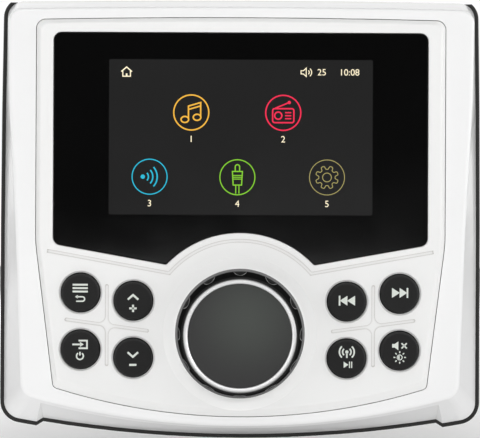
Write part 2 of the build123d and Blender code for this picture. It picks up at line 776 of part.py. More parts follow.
# Button caps: a soft-edged disc, a lip that stays behind the fascia and a stem on the dome
for name, (x, z) in buttons.items():
    with BuildPart() as button:
        with BuildSketch(front(dome_top, x, z)):
            Circle(BUTTON_STEM_R)
        extrude(amount=lip_back - dome_top)
        with BuildSketch(front(lip_back, x, z)):
            Circle(BUTTON_R + BUTTON_LIP)
        extrude(amount=BUTTON_LIP_T)
        with BuildSketch(front(lip_front, x, z)):
            Circle(BUTTON_R)
        extrude(amount=button_front - lip_front)
        fillet(button.faces().sort_by(Axis.Y)[0].edges(), BUTTON_EDGE_R)
    write(button, name)

# Encoder: case with its bush, rotor that turns with the knob, and the push dome on the board
with BuildPart() as encoder_case:
    with BuildSketch(front(board_front, 0, knob_z)):
        Rectangle(CASE_W, CASE_H)
    extrude(amount=CASE_T)
    with BuildSketch(front(case_front, 0, knob_z)):
        Circle(BUSH_R)
    extrude(amount=bush_front - case_front)
    chamfer(encoder_case.faces().sort_by(Axis.Y)[0].edges(), SLIP_GAP * 4)
    with BuildSketch(front(board_front, 0, knob_z)):
        Circle(TAIL_R + 2 * HEAD_GAP)
    extrude(amount=CASE_FLOOR, mode=Mode.SUBTRACT)
    with BuildSketch(front(board_front + CASE_FLOOR, 0, knob_z)):
        Circle(ROTOR_R + LOOSE_GAP)
    extrude(amount=CASE_T - CASE_FLOOR - CASE_ROOF, mode=Mode.SUBTRACT)
    with BuildSketch(front(board_front + CASE_FLOOR, 0, knob_z)):
        Circle(SHAFT_R + SLIP_GAP)
    extrude(amount=bush_front - board_front - CASE_FLOOR, mode=Mode.SUBTRACT)
write(encoder_case, "encoder_case")

with BuildPart() as encoder_rotor:
    with BuildSketch(front(rotor_back, 0, knob_z)):
        Circle(ROTOR_R)
        add(d_section(TAIL_R + 2 * SLIP_GAP, TAIL_FLAT + 2 * SLIP_GAP), mode=Mode.SUBTRACT)
    extrude(amount=rotor_front - rotor_back)
write(encoder_rotor, "encoder_rotor")

with BuildPart() as push_dome:
    with BuildSketch(front(board_front, 0, knob_z)):
        Circle(DOME_PUSH_R)
    extrude(amount=DOME_PUSH_T)
    fillet(push_dome.faces().sort_by(Axis.Y)[0].edges(), DOME_PUSH_T / 2)
write(push_dome, "push_dome")

with BuildPart() as encoder_seal:
    with BuildSketch(front(case_front, 0, knob_z)):
        Circle(SEAL_R)
        Circle(BUSH_R + HEAD_GAP, mode=Mode.SUBTRACT)
    extrude(amount=CASE_SEAL_T)
write(encoder_seal, "encoder_seal")

with BuildPart() as encoder_washer:
    with BuildSketch(front(dish_floor, 0, knob_z)):
        Circle(WASHER_R)
        Circle(BUSH_R + HEAD_GAP, mode=Mode.SUBTRACT)
    extrude(amount=WASHER_T)
write(encoder_washer, "encoder_washer")

with BuildPart() as encoder_nut:
    with BuildSketch(front(washer_front, 0, knob_z)):
        RegularPolygon(NUT_AF / 2, 6, major_radius=False)
        Circle(BUSH_R + SLIP_GAP, mode=Mode.SUBTRACT)
    extrude(amount=NUT_T)
write(encoder_nut, "encoder_nut")

with BuildPart() as encoder_shaft:
    with BuildSketch(front(tail_back, 0, knob_z)):
        add(d_section(TAIL_R, TAIL_FLAT))
    extrude(amount=shaft_step - tail_back)
    with BuildSketch(front(shaft_step, 0, knob_z)):
        Circle(SHAFT_R)
    extrude(amount=hub_back - shaft_step)
    with BuildSketch(front(hub_back, 0, knob_z)):
        add(d_section(SHAFT_R, SHAFT_FLAT))
    extrude(amount=SHAFT_DEEP)
write(encoder_shaft, "encoder_shaft")

# Knob: turned body with scallops in its flank, a bright ring and a disc set into its front
with BuildPart() as knob_body:
    with BuildSketch(knob_section):
        with BuildLine():
            Polyline(
                (0, knob_front),
                (KNOB_TOP_R, knob_front),
                (KNOB_R, knob_back),
                (KNOB_R - SCALLOP_DEPTH - KNOB_WALL, knob_back),
                (KNOB_TOP_R - KNOB_WALL, knob_roof),
                (HUB_R, knob_roof),
                (HUB_R, hub_back),
                (0, hub_back),
                close=True,
            )
        make_face()
    revolve(axis=knob_axis)
    fillet(knob_body.faces().sort_by(Axis.Y)[0].edges(), KNOB_EDGE_R)
    with BuildSketch(front(knob_back, 0, knob_z)):
        with PolarLocations(KNOB_R - SCALLOP_DEPTH + SCALLOP_R, SCALLOP_COUNT):
            Circle(SCALLOP_R)
    extrude(amount=KNOB_H, mode=Mode.SUBTRACT)
    with BuildSketch(front(ring_seat, 0, knob_z)):
        Circle(RING_R + SLIP_GAP)
    extrude(amount=RING_SEAT, mode=Mode.SUBTRACT)
    with BuildSketch(front(hub_back, 0, knob_z)):
        add(d_section(SHAFT_R + SLIP_GAP, SHAFT_FLAT + SLIP_GAP))
    extrude(amount=SHAFT_DEEP + HEAD_GAP, mode=Mode.SUBTRACT)
write(knob_body, "knob_body")

with BuildPart() as knob_ring:
    with BuildSketch(front(ring_seat, 0, knob_z)):
        Circle(RING_R)
        Circle(RING_R - RING_W, mode=Mode.SUBTRACT)
    extrude(amount=RING_SEAT + RING_RISE)
    fillet(knob_ring.faces().sort_by(Axis.Y)[0].edges(), RING_EDGE_R)
write(knob_ring, "knob_ring")

with BuildPart() as knob_cap:
    with BuildSketch(front(ring_seat, 0, knob_z)):
        Circle(RING_R - RING_W - SLIP_GAP)
    extrude(amount=RING_SEAT + CAP_RISE)
write(knob_cap, "knob_cap")

with BuildPart() as knob_base_ring:
    with BuildSketch(front(base_ring_back, 0, knob_z)):
        Circle(BASE_RING_R)
        Circle(BASE_RING_R - BASE_RING_W, mode=Mode.SUBTRACT)
    extrude(amount=BASE_RING_SEAT + BASE_RING_RISE)
    fillet(knob_base_ring.faces().sort_by(Axis.Y)[0].edges(), TRIM_R)
write(knob_base_ring, "knob_base_ring")

# Seal under the fascia's skirt
with BuildPart() as fascia_seal:
    with BuildSketch(front(frame_front)):
        offset(fascia_outline, amount=-SKIRT_SEAL_INSET)
        offset(fascia_outline, amount=SKIRT_SEAL_INSET - SKIRT_T, mode=Mode.SUBTRACT)
    extrude(amount=SKIRT_SEAL_T)
write(fascia_seal, "fascia_seal")

# Front frame: the dark rim plate that everything is fixed to
with BuildPart() as front_frame:
    with BuildSketch(front(frame_back)):
        add(rim_outline)
    extrude(amount=FRAME_T)
    fillet(front_frame.faces().sort_by(Axis.Y)[0].edges(), RIM_EDGE_R)
    with BuildSketch(front(frame_front)):
        offset(fascia_outline, amount=-SKIRT_T - LIP_GAP)
        offset(fascia_outline, amount=-SKIRT_T - LIP_GAP - LIP_T, mode=Mode.SUBTRACT)
        with Locations(*bosses):
            Circle(BOSS_R + BOSS_CLEAR, mode=Mode.SUBTRACT)
        with Locations(*pegs):
            Circle(SCREW_HEAD_R + BOSS_CLEAR, mode=Mode.SUBTRACT)
    extrude(amount=LIP_H)
    with BuildSketch(front(frame_back)):
        with Locations((0, RIBBON_Z)):
            Rectangle(PLUG_W + 2 * PLUG_GAP, PLUG_H + 2 * PLUG_GAP)
        with Locations(*clips):
            Rectangle(CLIP_T + 2 * CLIP_GAP, CLIP_W + 2 * CLIP_GAP)
    extrude(amount=FRAME_T, mode=Mode.SUBTRACT)
    with Locations(*[front(frame_front, x, z) for x, z in flange_holes]):
        CounterSinkHole(FLANGE_HOLE_R, FLANGE_SINK_R, depth=FRAME_T, counter_sink_angle=SINK_ANGLE)
    with Locations(*[rear(frame_back, x, z) for x, z in bosses]):
        CounterBoreHole(through_r, head_room_r, SCREW_HEAD_T + HEAD_GAP, depth=FRAME_T)
    with Locations(*[front(frame_front, x, z) for x, z in posts]):
        CounterBoreHole(through_r, head_room_r, SCREW_HEAD_T + HEAD_GAP, depth=FRAME_T)
write(front_frame, "front_frame")

# Dash gasket: soft ring behind the frame
with BuildPart() as dash_gasket:
    with BuildSketch(front(0)):
        add(rim_outline)
        Circle(BARREL_R + BARREL_FLANGE + GASKET_BORE_GAP, mode=Mode.SUBTRACT)
        with Locations(*flange_holes):
            Circle(GASKET_HOLE_R, mode=Mode.SUBTRACT)
    extrude(amount=GASKET_T)
write(dash_gasket, "dash_gasket")

# Barrel: round housing behind the dash, with posts for the frame, board and heat sink
flange_r = BARREL_R + BARREL_FLANGE
with BuildPart() as barrel:
    with BuildSketch(front(barrel_back)):
        Circle(BARREL_R)
    extrude(amount=BARREL_DEPTH)
    with BuildSketch(front(0)):
        Circle(flange_r)
    extrude(amount=GASKET_T)
    with BuildSketch(front(barrel_back)):
        Circle(BARREL_R - BARREL_WALL)
    extrude(amount=BARREL_DEPTH + GASKET_T, mode=Mode.SUBTRACT)
    with BuildSketch(front(frame_back)):
        with Locations(*posts):
            Circle(POST_R)
    extrude(amount=main_front - frame_back)
    with BuildSketch(front(barrel_back)):
        with Locations(*posts):
            Circle(POST_R)
    extrude(amount=REAR_POST_H)
    with Locations(*[front(frame_back, x, z) for x, z in posts]):
        Hole(pilot_r, depth=SCREW_BITE + SCREW_ROOM)
    with Locations(*[rear(main_front, x, z) for x, z in posts]):
        Hole(pilot_r, depth=SCREW_BITE + SCREW_ROOM)
    with Locations(*[rear(barrel_back, x, z) for x, z in posts]):
        Hole(pilot_r, depth=SCREW_BITE + SCREW_ROOM)
    with BuildSketch(front(frame_back)):
        Circle(flange_r - FLANGE_SEAL_INSET)
        Circle(flange_r - FLANGE_SEAL_INSET - SEAL_W, mode=Mode.SUBTRACT)
    extrude(amount=-SEAL_T, mode=Mode.SUBTRACT)
    with BuildSketch(front(barrel_back)):
        Circle(BARREL_R - SEAL_INSET)
        Circle(BARREL_R - SEAL_INSET - SEAL_W, mode=Mode.SUBTRACT)
    extrude(amount=SEAL_T, mode=Mode.SUBTRACT)
write(barrel, "barrel")

# Seals in the barrel's two end grooves
with BuildPart() as barrel_seal:
    with BuildSketch(front(frame_back - SEAL_T)):
        Circle(flange_r - FLANGE_SEAL_INSET - SLIP_GAP)
        Circle(flange_r - FLANGE_SEAL_INSET - SEAL_W + SLIP_GAP, mode=Mode.SUBTRACT)
    extrude(amount=SEAL_T)
write(barrel_seal, "barrel_seal")

with BuildPart() as rear_seal:
    with BuildSketch(front(barrel_back)):
        Circle(BARREL_R - SEAL_INSET - SLIP_GAP)
        Circle(BARREL_R - SEAL_INSET - SEAL_W + SLIP_GAP, mode=Mode.SUBTRACT)
    extrude(amount=SEAL_T)
write(rear_seal, "rear_seal")

# Heat sink: finned rear cover with a pedestal for the amplifier and the socket openings
with BuildPart() as heat_sink:
    with BuildSketch(front(sink_back)):
        Circle(BARREL_R - SINK_INSET)
    extrude(amount=SINK_T)
    fillet(heat_sink.faces().sort_by(Axis.Y)[-1].edges(), SINK_EDGE_R)
    with BuildSketch(front(sink_back)):
        with Locations((0, FIN_FLOOR_Z + BARREL_R / 2)):
            with GridLocations(fin_step, fin_step, FIN_COUNT, 1):
                Rectangle(FIN_T, BARREL_R)
        Circle(BARREL_R - FIN_INSET, mode=Mode.INTERSECT)
        with Locations(*posts):
            Circle(FIN_RELIEF_R, mode=Mode.SUBTRACT)
    extrude(amount=-FIN_H)
    with BuildSketch(front(barrel_back, 0, chip_z)):
        Rectangle(CHIP_W + 2 * PEDESTAL_BORDER, CHIP_H + 2 * PEDESTAL_BORDER)
    extrude(amount=pedestal_front - barrel_back)
    with BuildSketch(front(sink_back)):
        with Locations((0, harness_z)):
            Rectangle(harness_w + 2 * SOCKET_GAP, HARNESS_H + 2 * SOCKET_GAP)
        with Locations(aerial_place):
            Circle(AERIAL_R + SOCKET_GAP)
        with Locations(*line_points):
            Circle(LINE_R + SOCKET_GAP)
        with Locations(*posts):
            Circle(through_r)
    extrude(amount=SINK_T, mode=Mode.SUBTRACT)
write(heat_sink, "heat_sink")

# Main board with the amplifier, its thermal pad, the tuner can and the capacitors
with BuildPart() as main_board:
    with BuildSketch(front(main_back)):
        Circle(BARREL_R - BARREL_WALL - MAIN_EDGE_GAP)
        with Locations(*posts):
            Circle(through_r, mode=Mode.SUBTRACT)
    extrude(amount=MAIN_T)
write(main_board, "main_board")

with BuildPart() as amplifier_chip:
    with BuildSketch(front(main_back, 0, chip_z)):
        Rectangle(CHIP_W, CHIP_H)
    extrude(amount=-CHIP_T)
write(amplifier_chip, "amplifier_chip")

with BuildPart() as thermal_pad:
    with BuildSketch(front(main_back - CHIP_T, 0, chip_z)):
        Rectangle(CHIP_W, CHIP_H)
    extrude(amount=-PAD_T)
write(thermal_pad, "thermal_pad")

with BuildPart() as tuner_can:
    with BuildSketch(front(main_front, *tuner_place)):
        RectangleRounded(BARREL_R * TUNER_W_SHARE, BARREL_R * TUNER_H_SHARE, TUNER_EDGE_R)
    extrude(amount=TUNER_T)
    fillet(tuner_can.faces().sort_by(Axis.Y)[0].edges(), TRIM_R)
write(tuner_can, "tuner_can")

with BuildPart() as capacitors:
    with BuildSketch(front(main_front, *capacitor_place)):
        with GridLocations(capacitor_step, capacitor_step, 2, 2):
            Circle(CAPACITOR_R)
    extrude(amount=CAPACITOR_H)
    fillet(capacitors.faces().group_by(Axis.Y)[0].edges(), CAPACITOR_RIM_R)
write(capacitors, "capacitors")

# Ribbon between the boards, with a gentle bow, and a plug at each end
plug_back = board_back - PLUG_T
plug_front = main_front + PLUG_T
ribbon_run = plug_back - plug_front
with BuildPart() as ribbon_plugs:
    with BuildSketch(front(board_back, 0, RIBBON_Z)):
        Rectangle(PLUG_W, PLUG_H)
    extrude(amount=-PLUG_T)
    with BuildSketch(front(main_front, 0, RIBBON_Z)):
        Rectangle(PLUG_W, PLUG_H)
    extrude(amount=PLUG_T)
write(ribbon_plugs, "ribbon_plugs")

with BuildPart() as ribbon_cable:
    with BuildSketch(Plane.YZ):
        with BuildLine():
            FilletPolyline(
                (-plug_back, RIBBON_Z),
                (-plug_back + ribbon_run * RIBBON_LEAD_SHARE, RIBBON_Z),
                (-(plug_back + plug_front) / 2, RIBBON_Z + ribbon_run * RIBBON_BOW_SHARE),
                (-plug_front - ribbon_run * RIBBON_LEAD_SHARE, RIBBON_Z),
                (-plug_front, RIBBON_Z),
                radius=ribbon_run * RIBBON_BEND_SHARE,
            )
        trace(line_width=RIBBON_T)
    extrude(amount=RIBBON_W / 2, both=True)
write(ribbon_cable, "ribbon_cable")

# Harness socket: a shrouded block that stands on the main board, with its rows of pins
harness_mouth = sink_back - HARNESS_PAST
harness_floor = harness_mouth + HARNESS_DEEP
with BuildPart() as harness_socket:
    with BuildSketch(front(harness_mouth, 0, harness_z)):
        Rectangle(harness_w, HARNESS_H)
    extrude(amount=main_back - harness_mouth)
    with BuildSketch(front(harness_mouth, 0, harness_z)):
        Rectangle(harness_w - 2 * HARNESS_WALL, HARNESS_H - 2 * HARNESS_WALL)
    extrude(amount=HARNESS_DEEP, mode=Mode.SUBTRACT)
write(harness_socket, "harness_socket")

with BuildPart() as harness_pins:
    with BuildSketch(front(harness_floor, 0, harness_z)):
        with GridLocations(pin_step, PIN_ROW_STEP, PIN_COLUMNS, 2):
            Rectangle(PIN_SIZE, PIN_SIZE)
    extrude(amount=-PIN_LENGTH)
write(harness_pins, "harness_pins")

# Antenna socket: a turned shell with a flange on the heat sink and an insulator in its floor
aerial_mouth = sink_back - AERIAL_PAST
aerial_floor = aerial_mouth + AERIAL_BORE_DEEP
with BuildPart() as antenna_socket:
    with BuildSketch(front(aerial_mouth, *aerial_place)):
        Circle(AERIAL_R)
    extrude(amount=barrel_back + TAIL_IN - aerial_mouth)
    with BuildSketch(front(sink_back, *aerial_place)):
        Circle(AERIAL_R + AERIAL_FLANGE)
    extrude(amount=-AERIAL_FLANGE_T)
    with BuildSketch(front(aerial_mouth, *aerial_place)):
        Circle(AERIAL_BORE_R)
    extrude(amount=AERIAL_BORE_DEEP, mode=Mode.SUBTRACT)
    with BuildSketch(front(aerial_floor, *aerial_place)):
        Circle(AERIAL_PLUG_R)
    extrude(amount=AERIAL_PLUG_T, mode=Mode.SUBTRACT)
write(antenna_socket, "antenna_socket")

with BuildPart() as antenna_insulator:
    with BuildSketch(front(aerial_floor, *aerial_place)):
        Circle(AERIAL_PLUG_R - SLIP_GAP)
        Circle(AERIAL_CONTACT_R, mode=Mode.SUBTRACT)
    extrude(amount=AERIAL_PLUG_T)
write(antenna_insulator, "antenna_insulator")

# Line-out sockets: two turned shells on the heat sink, each with an insulator
line_mouth = sink_back - LINE_PAST
line_tail = barrel_back + TAIL_IN
with BuildPart() as line_out_sockets:
    with BuildSketch(front(line_mouth)):
        with Locations(*line_points):
            Circle(LINE_R)
    extrude(amount=line_tail - line_mouth)
    with BuildSketch(front(sink_back)):
        with Locations(*line_points):
            Circle(LINE_R + LINE_FLANGE)
    extrude(amount=-LINE_FLANGE_T)
    with BuildSketch(front(line_mouth)):
        with Locations(*line_points):
            Circle(LINE_R - LINE_WALL)
    extrude(amount=line_tail - line_mouth, mode=Mode.SUBTRACT)
write(line_out_sockets, "line_out_sockets")

with BuildPart() as line_out_insulators:
    with BuildSketch(front(line_mouth)):
        with Locations(*line_points):
            Circle(LINE_R - LINE_WALL - SLIP_GAP)
    extrude(amount=line_tail - line_mouth)
    with BuildSketch(front(line_mouth)):
        with Locations(*line_points):
            Circle(LINE_CONTACT_R)
    extrude(amount=LINE_CONTACT_DEEP, mode=Mode.SUBTRACT)
write(line_out_insulators, "line_out_insulators")


def screw_set(name, points, seat, tip, head_end):
    """Plain pan-head screws: a shank from the seat to the tip and a head on the other side."""
    with BuildPart() as screws:
        with BuildSketch(front(seat)):
            with Locations(*points):
                Circle(SCREW_R)
        extrude(amount=tip - seat)
        with BuildSketch(front(seat)):
            with Locations(*points):
                Circle(SCREW_HEAD_R)
        extrude(amount=head_end - seat)
    write(screws, name)


fascia_seat = frame_back + SCREW_HEAD_T + HEAD_GAP
housing_seat = frame_front - SCREW_HEAD_T - HEAD_GAP
board_tip = board_back + SCREW_BITE
screw_set("fascia_screws", bosses, fascia_seat, frame_front + SCREW_BITE, fascia_seat - SCREW_HEAD_T)
screw_set("board_screws", pegs, board_back, board_tip, board_back - SCREW_HEAD_T)
screw_set("housing_screws", posts, housing_seat, frame_back - SCREW_BITE, housing_seat + SCREW_HEAD_T)
screw_set("main_board_screws", posts, main_back, main_front + SCREW_BITE, main_back - SCREW_HEAD_T)
screw_set("heat_sink_screws", posts, sink_back, barrel_back + SCREW_BITE, sink_back - SCREW_HEAD_T)
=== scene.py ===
import math

import bmesh
import bpy
import numpy as np
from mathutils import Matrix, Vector


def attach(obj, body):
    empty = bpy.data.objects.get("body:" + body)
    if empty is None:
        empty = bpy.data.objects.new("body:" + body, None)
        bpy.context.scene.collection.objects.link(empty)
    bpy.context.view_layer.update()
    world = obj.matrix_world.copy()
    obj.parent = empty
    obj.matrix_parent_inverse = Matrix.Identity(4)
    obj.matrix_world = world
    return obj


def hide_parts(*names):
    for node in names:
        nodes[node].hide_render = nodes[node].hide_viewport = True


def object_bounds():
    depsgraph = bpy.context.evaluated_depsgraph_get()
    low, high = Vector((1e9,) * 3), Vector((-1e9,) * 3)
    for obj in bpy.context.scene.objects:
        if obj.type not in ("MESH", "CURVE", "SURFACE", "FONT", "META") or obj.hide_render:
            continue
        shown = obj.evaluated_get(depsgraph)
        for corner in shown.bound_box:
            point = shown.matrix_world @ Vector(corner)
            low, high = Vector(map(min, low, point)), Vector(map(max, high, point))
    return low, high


# Looks of a dash-mounted marine radio. Metres; X to the right, Z up, the face looks along -Y.
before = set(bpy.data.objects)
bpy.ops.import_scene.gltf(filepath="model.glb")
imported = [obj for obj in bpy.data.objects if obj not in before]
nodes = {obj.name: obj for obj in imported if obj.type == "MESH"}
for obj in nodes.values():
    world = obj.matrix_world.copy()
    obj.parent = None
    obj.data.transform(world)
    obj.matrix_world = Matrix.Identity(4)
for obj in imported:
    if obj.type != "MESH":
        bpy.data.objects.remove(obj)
cad_low, cad_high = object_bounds()

MM = 0.001
CAMERA_DISTANCE = 655 * MM
CAMERA_X = -0.1 * MM
CAMERA_Z = 0.07 * MM
CAMERA_ROLL = math.radians(-0.25)
FRAME_WIDTH = 120 * MM
SENSOR_WIDTH = 36.0
FLOOR_HALF = 2.5
FLOOR_GAP = 2.5 * MM
PRINT_LIFT = 0.04 * MM
PRINT_SINK = 0.25
PANEL_BORDER = 1.75 * MM
SCREEN_CORNER = 0.4 * MM
SCREEN_EDGE = 0.12 * MM
SOCKET_SPLIT_X = 24.5 * MM
SCREW_HEAD_R = 2.4 * MM
SCREW_HEAD_T = 1.2 * MM
SCREW_DOME_FOOT = 0.55
SCREW_DOME_STEPS = 26
SCREW_CROSS_DEPTH = 0.55
HIGHLIGHT_REACH = 0.2 * MM
METAL_REACH = 0.8 * MM


def box_of(name):
    """Middle and half size of a node's box, each as (x, y, z)."""
    mesh = nodes[name].data
    points = np.zeros(len(mesh.vertices) * 3)
    mesh.vertices.foreach_get("co", points)
    points = points.reshape(-1, 3)
    low, high = points.min(0), points.max(0)
    return (low + high) / 2, (high - low) / 2


def front_of(name):
    """How far a node's front lies before the plane y = 0."""
    middle, half = box_of(name)
    return half[1] - middle[1]


WINDOW_FRONT = front_of("display_window")
KNOB_AXIS = tuple(box_of("knob_ring")[0])
SCREEN_MIDDLE, PANEL_HALF = box_of("display_panel")
SCREEN_HALF = PANEL_HALF - PANEL_BORDER
DISH_R = 19.25 * MM
KNOB_R = 15.6 * MM
KNOB_TOP_R = 14.5 * MM
KNOB_H = 11.5 * MM
SCALLOP_COUNT = 12
SCALLOP_R = 2.2 * MM
SCALLOP_DEPTH = 0.85 * MM
LIP_R = 0.1 * MM
LIP_STEPS = 41
RING_CREST = 0.3 * MM
RING_SLOPE = 0.25 * MM
CAP_HIGHLIGHT_SPOT = (2 * MM, 0.0, 4 * MM)
CAP_HIGHLIGHT_FALL = 17 * MM

# Sizes of the drawn signs, in millimetres on the face
ICON_RING_R = 4.38
FIGURE_SIZE = 2.3
LABEL_DROP = 6.7
STATUS_Z = 36.75


# Camera and light
def studio():
    """Camera square to the face, so far off that the window's plane is 120 mm wide in the frame."""
    view = bpy.data.cameras.new("camera")
    view.sensor_fit = "HORIZONTAL"
    view.sensor_width = SENSOR_WIDTH
    view.lens = SENSOR_WIDTH * CAMERA_DISTANCE / FRAME_WIDTH
    view.clip_start = 0.01
    view.clip_end = 50.0
    camera = bpy.data.objects.new("camera", view)
    camera.location = (CAMERA_X, -WINDOW_FRONT - CAMERA_DISTANCE, CAMERA_Z)
    camera.rotation_euler = (math.radians(90), CAMERA_ROLL, 0.0)
    bpy.context.scene.collection.objects.link(camera)
    bpy.context.scene.camera = camera
    bpy.context.scene.view_settings.view_transform = "Standard"


def softbox(name, place, size, power, mirrored=True):
    """Rectangular lamp that looks at the middle of the face; gloss shows it only if mirrored."""
    lamp = bpy.data.lights.new(name, "AREA")
    lamp.shape = "RECTANGLE"
    lamp.size, lamp.size_y = size
    lamp.energy = power
    holder = bpy.data.objects.new(name, lamp)
    holder.location = place
    holder.visible_glossy = mirrored
    aim = Vector((0.0, 0.0, 0.0)) - Vector(place)
    holder.rotation_euler = aim.to_track_quat("-Z", "Y").to_euler()
    bpy.context.scene.collection.objects.link(holder)


# Helpers that make and join shader nodes
def put(tree, kind, settings=(), **inputs):
    """A node with its settings, and its inputs set to a value or linked from a socket."""
    made = tree.nodes.new(kind)
    for key, value in dict(settings).items():
        setattr(made, key, value)
    for key, value in inputs.items():
        feed(tree, made.inputs[key.replace("_", " ")], value)
    return made


def feed(tree, socket, value):
    """Sets a socket to a plain value, or links it from another socket."""
    if isinstance(value, bpy.types.NodeSocket):
        tree.links.new(value, socket)
    else:
        socket.default_value = value


def calc(tree, operation, *values):
    """One sum: an operation on up to three numbers or sockets."""
    made = put(tree, "ShaderNodeMath", {"operation": operation})
    for socket, value in zip(made.inputs, values):
        feed(tree, socket, value)
    return made.outputs[0]


def mixed(tree, factor, first, second):
    """Colour between a first and a second one: inputs 0, 6 and 7 and output 2 of a colour mix."""
    made = put(tree, "ShaderNodeMix", {"data_type": "RGBA"})
    for index, value in ((0, factor), (6, first), (7, second)):
        feed(tree, made.inputs[index], value)
    return made.outputs[2]


def new_group(name, inputs, outputs):
    """Node group with named sockets: its tree, the sockets inside it and its output's inputs."""
    tree = bpy.data.node_groups.new(name, "ShaderNodeTree")
    for socket, value in inputs.items():
        kind = {1: "NodeSocketFloat", 3: "NodeSocketVector", 4: "NodeSocketColor"}[np.size(value)]
        tree.interface.new_socket(socket, in_out="INPUT", socket_type=kind).default_value = value
    for socket, kind in outputs.items():
        tree.interface.new_socket(socket, in_out="OUTPUT", socket_type="NodeSocket" + kind)
    given = tree.nodes.new("NodeGroupInput").outputs
    return tree, given, tree.nodes.new("NodeGroupOutput").inputs


# Effects that the finishes share
def grain_group():
    """Fine moulded grain: two noises, one of the grain's own size and one three times coarser."""
    start = {"Vector": (0, 0, 0), "Size": 0.0003}
    tree, given, out = new_group("moulded_grain", start, {"Height": "Float"})
    scale = calc(tree, "DIVIDE", 1.0, given["Size"])
    fine = put(tree, "ShaderNodeTexNoise", Vector=given["Vector"], Scale=scale, Detail=2.0)
    coarse_scale = calc(tree, "DIVIDE", scale, 3.0)
    coarse = put(tree, "ShaderNodeTexNoise", Vector=given["Vector"], Scale=coarse_scale, Detail=1.0)
    both = calc(tree, "MULTIPLY_ADD", coarse.outputs[0], 0.5, fine.outputs[0])
    tree.links.new(both, out["Height"])
    return tree


def gloss_group():
    """Handled gloss: roughness drifts between two values in patches of a given size."""
    start = {"Vector": (0, 0, 0), "Low": 0.3, "High": 0.4, "Size": 0.02}
    tree, given, out = new_group("patchy_gloss", start, {"Roughness": "Float"})
    scale = calc(tree, "DIVIDE", 1.0, given["Size"])
    drift = put(tree, "ShaderNodeTexNoise", Vector=given["Vector"], Scale=scale, Detail=4.0, Roughness=0.6)
    span = put(tree, "ShaderNodeMapRange", From_Min=0.3, From_Max=0.7)
    feed(tree, span.inputs["Value"], drift.outputs[0])
    feed(tree, span.inputs["To Min"], given["Low"])
    feed(tree, span.inputs["To Max"], given["High"])
    tree.links.new(span.outputs[0], out["Roughness"])
    return tree


def recess_group():
    """Painted recess shade: the colour goes over to a darker shade where the surface closes in within a
    reach, standing in for the shadow there.
    """
    start = {"Colour": (1, 1, 1, 1), "Shade": (0.5, 0.5, 0.5, 1), "Reach": 0.001}
    tree, given, out = new_group("recess_shade", start, {"Colour": "Color"})
    settings = {"samples": 8, "only_local": True}
    closed = put(tree, "ShaderNodeAmbientOcclusion", settings, Distance=given["Reach"])
    span = put(tree, "ShaderNodeMapRange", From_Min=0.3, From_Max=0.95)
    feed(tree, span.inputs["Value"], closed.outputs["AO"])
    tree.links.new(mixed(tree, span.outputs[0], given["Shade"], given["Colour"]), out["Colour"])
    return tree


def edge_group():
    """Painted edge highlight: the colour goes over to a lighter one where rays from inside find an edge in
    reach, standing in for edges that catch the light.
    """
    start = {"Colour": (1, 1, 1, 1), "Worn": (1, 1, 1, 1), "Reach": 0.0004}
    tree, given, out = new_group("painted_edge_highlight", start, {"Colour": "Color"})
    settings = {"samples": 8, "only_local": True, "inside": True}
    near = put(tree, "ShaderNodeAmbientOcclusion", settings, Distance=given["Reach"])
    span = put(tree, "ShaderNodeMapRange", From_Min=0.8, From_Max=0.94)
    feed(tree, span.inputs["Value"], near.outputs["AO"])
    tree.links.new(mixed(tree, span.outputs[0], given["Worn"], given["Colour"]), out["Colour"])
    return tree


def turned_group():
    """Turning marks: noise that depends only on the distance from an axis along Y, and that distance."""
    start = {"Vector": (0, 0, 0), "Centre": (0, 0, 0), "Width": 0.0001}
    tree, given, out = new_group("turning_marks", start, {"Height": "Float", "Radius": "Float"})
    away = put(tree, "ShaderNodeVectorMath", {"operation": "SUBTRACT"})
    feed(tree, away.inputs[0], given["Vector"])
    feed(tree, away.inputs[1], given["Centre"])
    split = put(tree, "ShaderNodeSeparateXYZ", Vector=away.outputs[0])
    square = calc(tree, "MULTIPLY", split.outputs["X"], split.outputs["X"])
    square = calc(tree, "MULTIPLY_ADD", split.outputs["Z"], split.outputs["Z"], square)
    radius = calc(tree, "SQRT", square)
    step = calc(tree, "DIVIDE", radius, given["Width"])
    marks = put(tree, "ShaderNodeTexNoise", {"noise_dimensions": "1D"}, W=step, Scale=1.0, Detail=2.0)
    tree.links.new(marks.outputs[0], out["Height"])
    tree.links.new(radius, out["Radius"])
    return tree


def screen_group():
    """Lit area: 1 inside a rounded rectangle on the face and 0 outside it, from its signed distance."""
    start = {
        "Vector": (0, 0, 0),
        "Centre": (0, 0, 0),
        "Half Width": 0.03,
        "Half Height": 0.02,
        "Corner": 0.001,
    }
    tree, given, out = new_group("lit_area", start, {"Mask": "Float"})
    away = put(tree, "ShaderNodeVectorMath", {"operation": "SUBTRACT"})
    feed(tree, away.inputs[0], given["Vector"])
    feed(tree, away.inputs[1], given["Centre"])
    split = put(tree, "ShaderNodeSeparateXYZ", Vector=away.outputs[0])
    past = []
    for axis, half in (("X", "Half Width"), ("Z", "Half Height")):
        inner = calc(tree, "SUBTRACT", given[half], given["Corner"])
        past.append(calc(tree, "SUBTRACT", calc(tree, "ABSOLUTE", split.outputs[axis]), inner))
    outer = [calc(tree, "MAXIMUM", value, 0.0) for value in past]
    square = calc(tree, "MULTIPLY_ADD", outer[1], outer[1], calc(tree, "MULTIPLY", outer[0], outer[0]))
    within = calc(tree, "MINIMUM", calc(tree, "MAXIMUM", *past), 0.0)
    gap = calc(tree, "SUBTRACT", calc(tree, "ADD", calc(tree, "SQRT", square), within), given["Corner"])
    edge = put(tree, "ShaderNodeMapRange", From_Min=SCREEN_EDGE, From_Max=-SCREEN_EDGE)
    feed(tree, edge.inputs["Value"], gap)
    tree.links.new(edge.outputs[0], out["Mask"])
    return tree


# The shared effects, each made once
GRAIN = grain_group()
GLOSS = gloss_group()
PAINTED_RECESS_SHADE = recess_group()
EDGE = edge_group()
TURNED = turned_group()
LIT = screen_group()


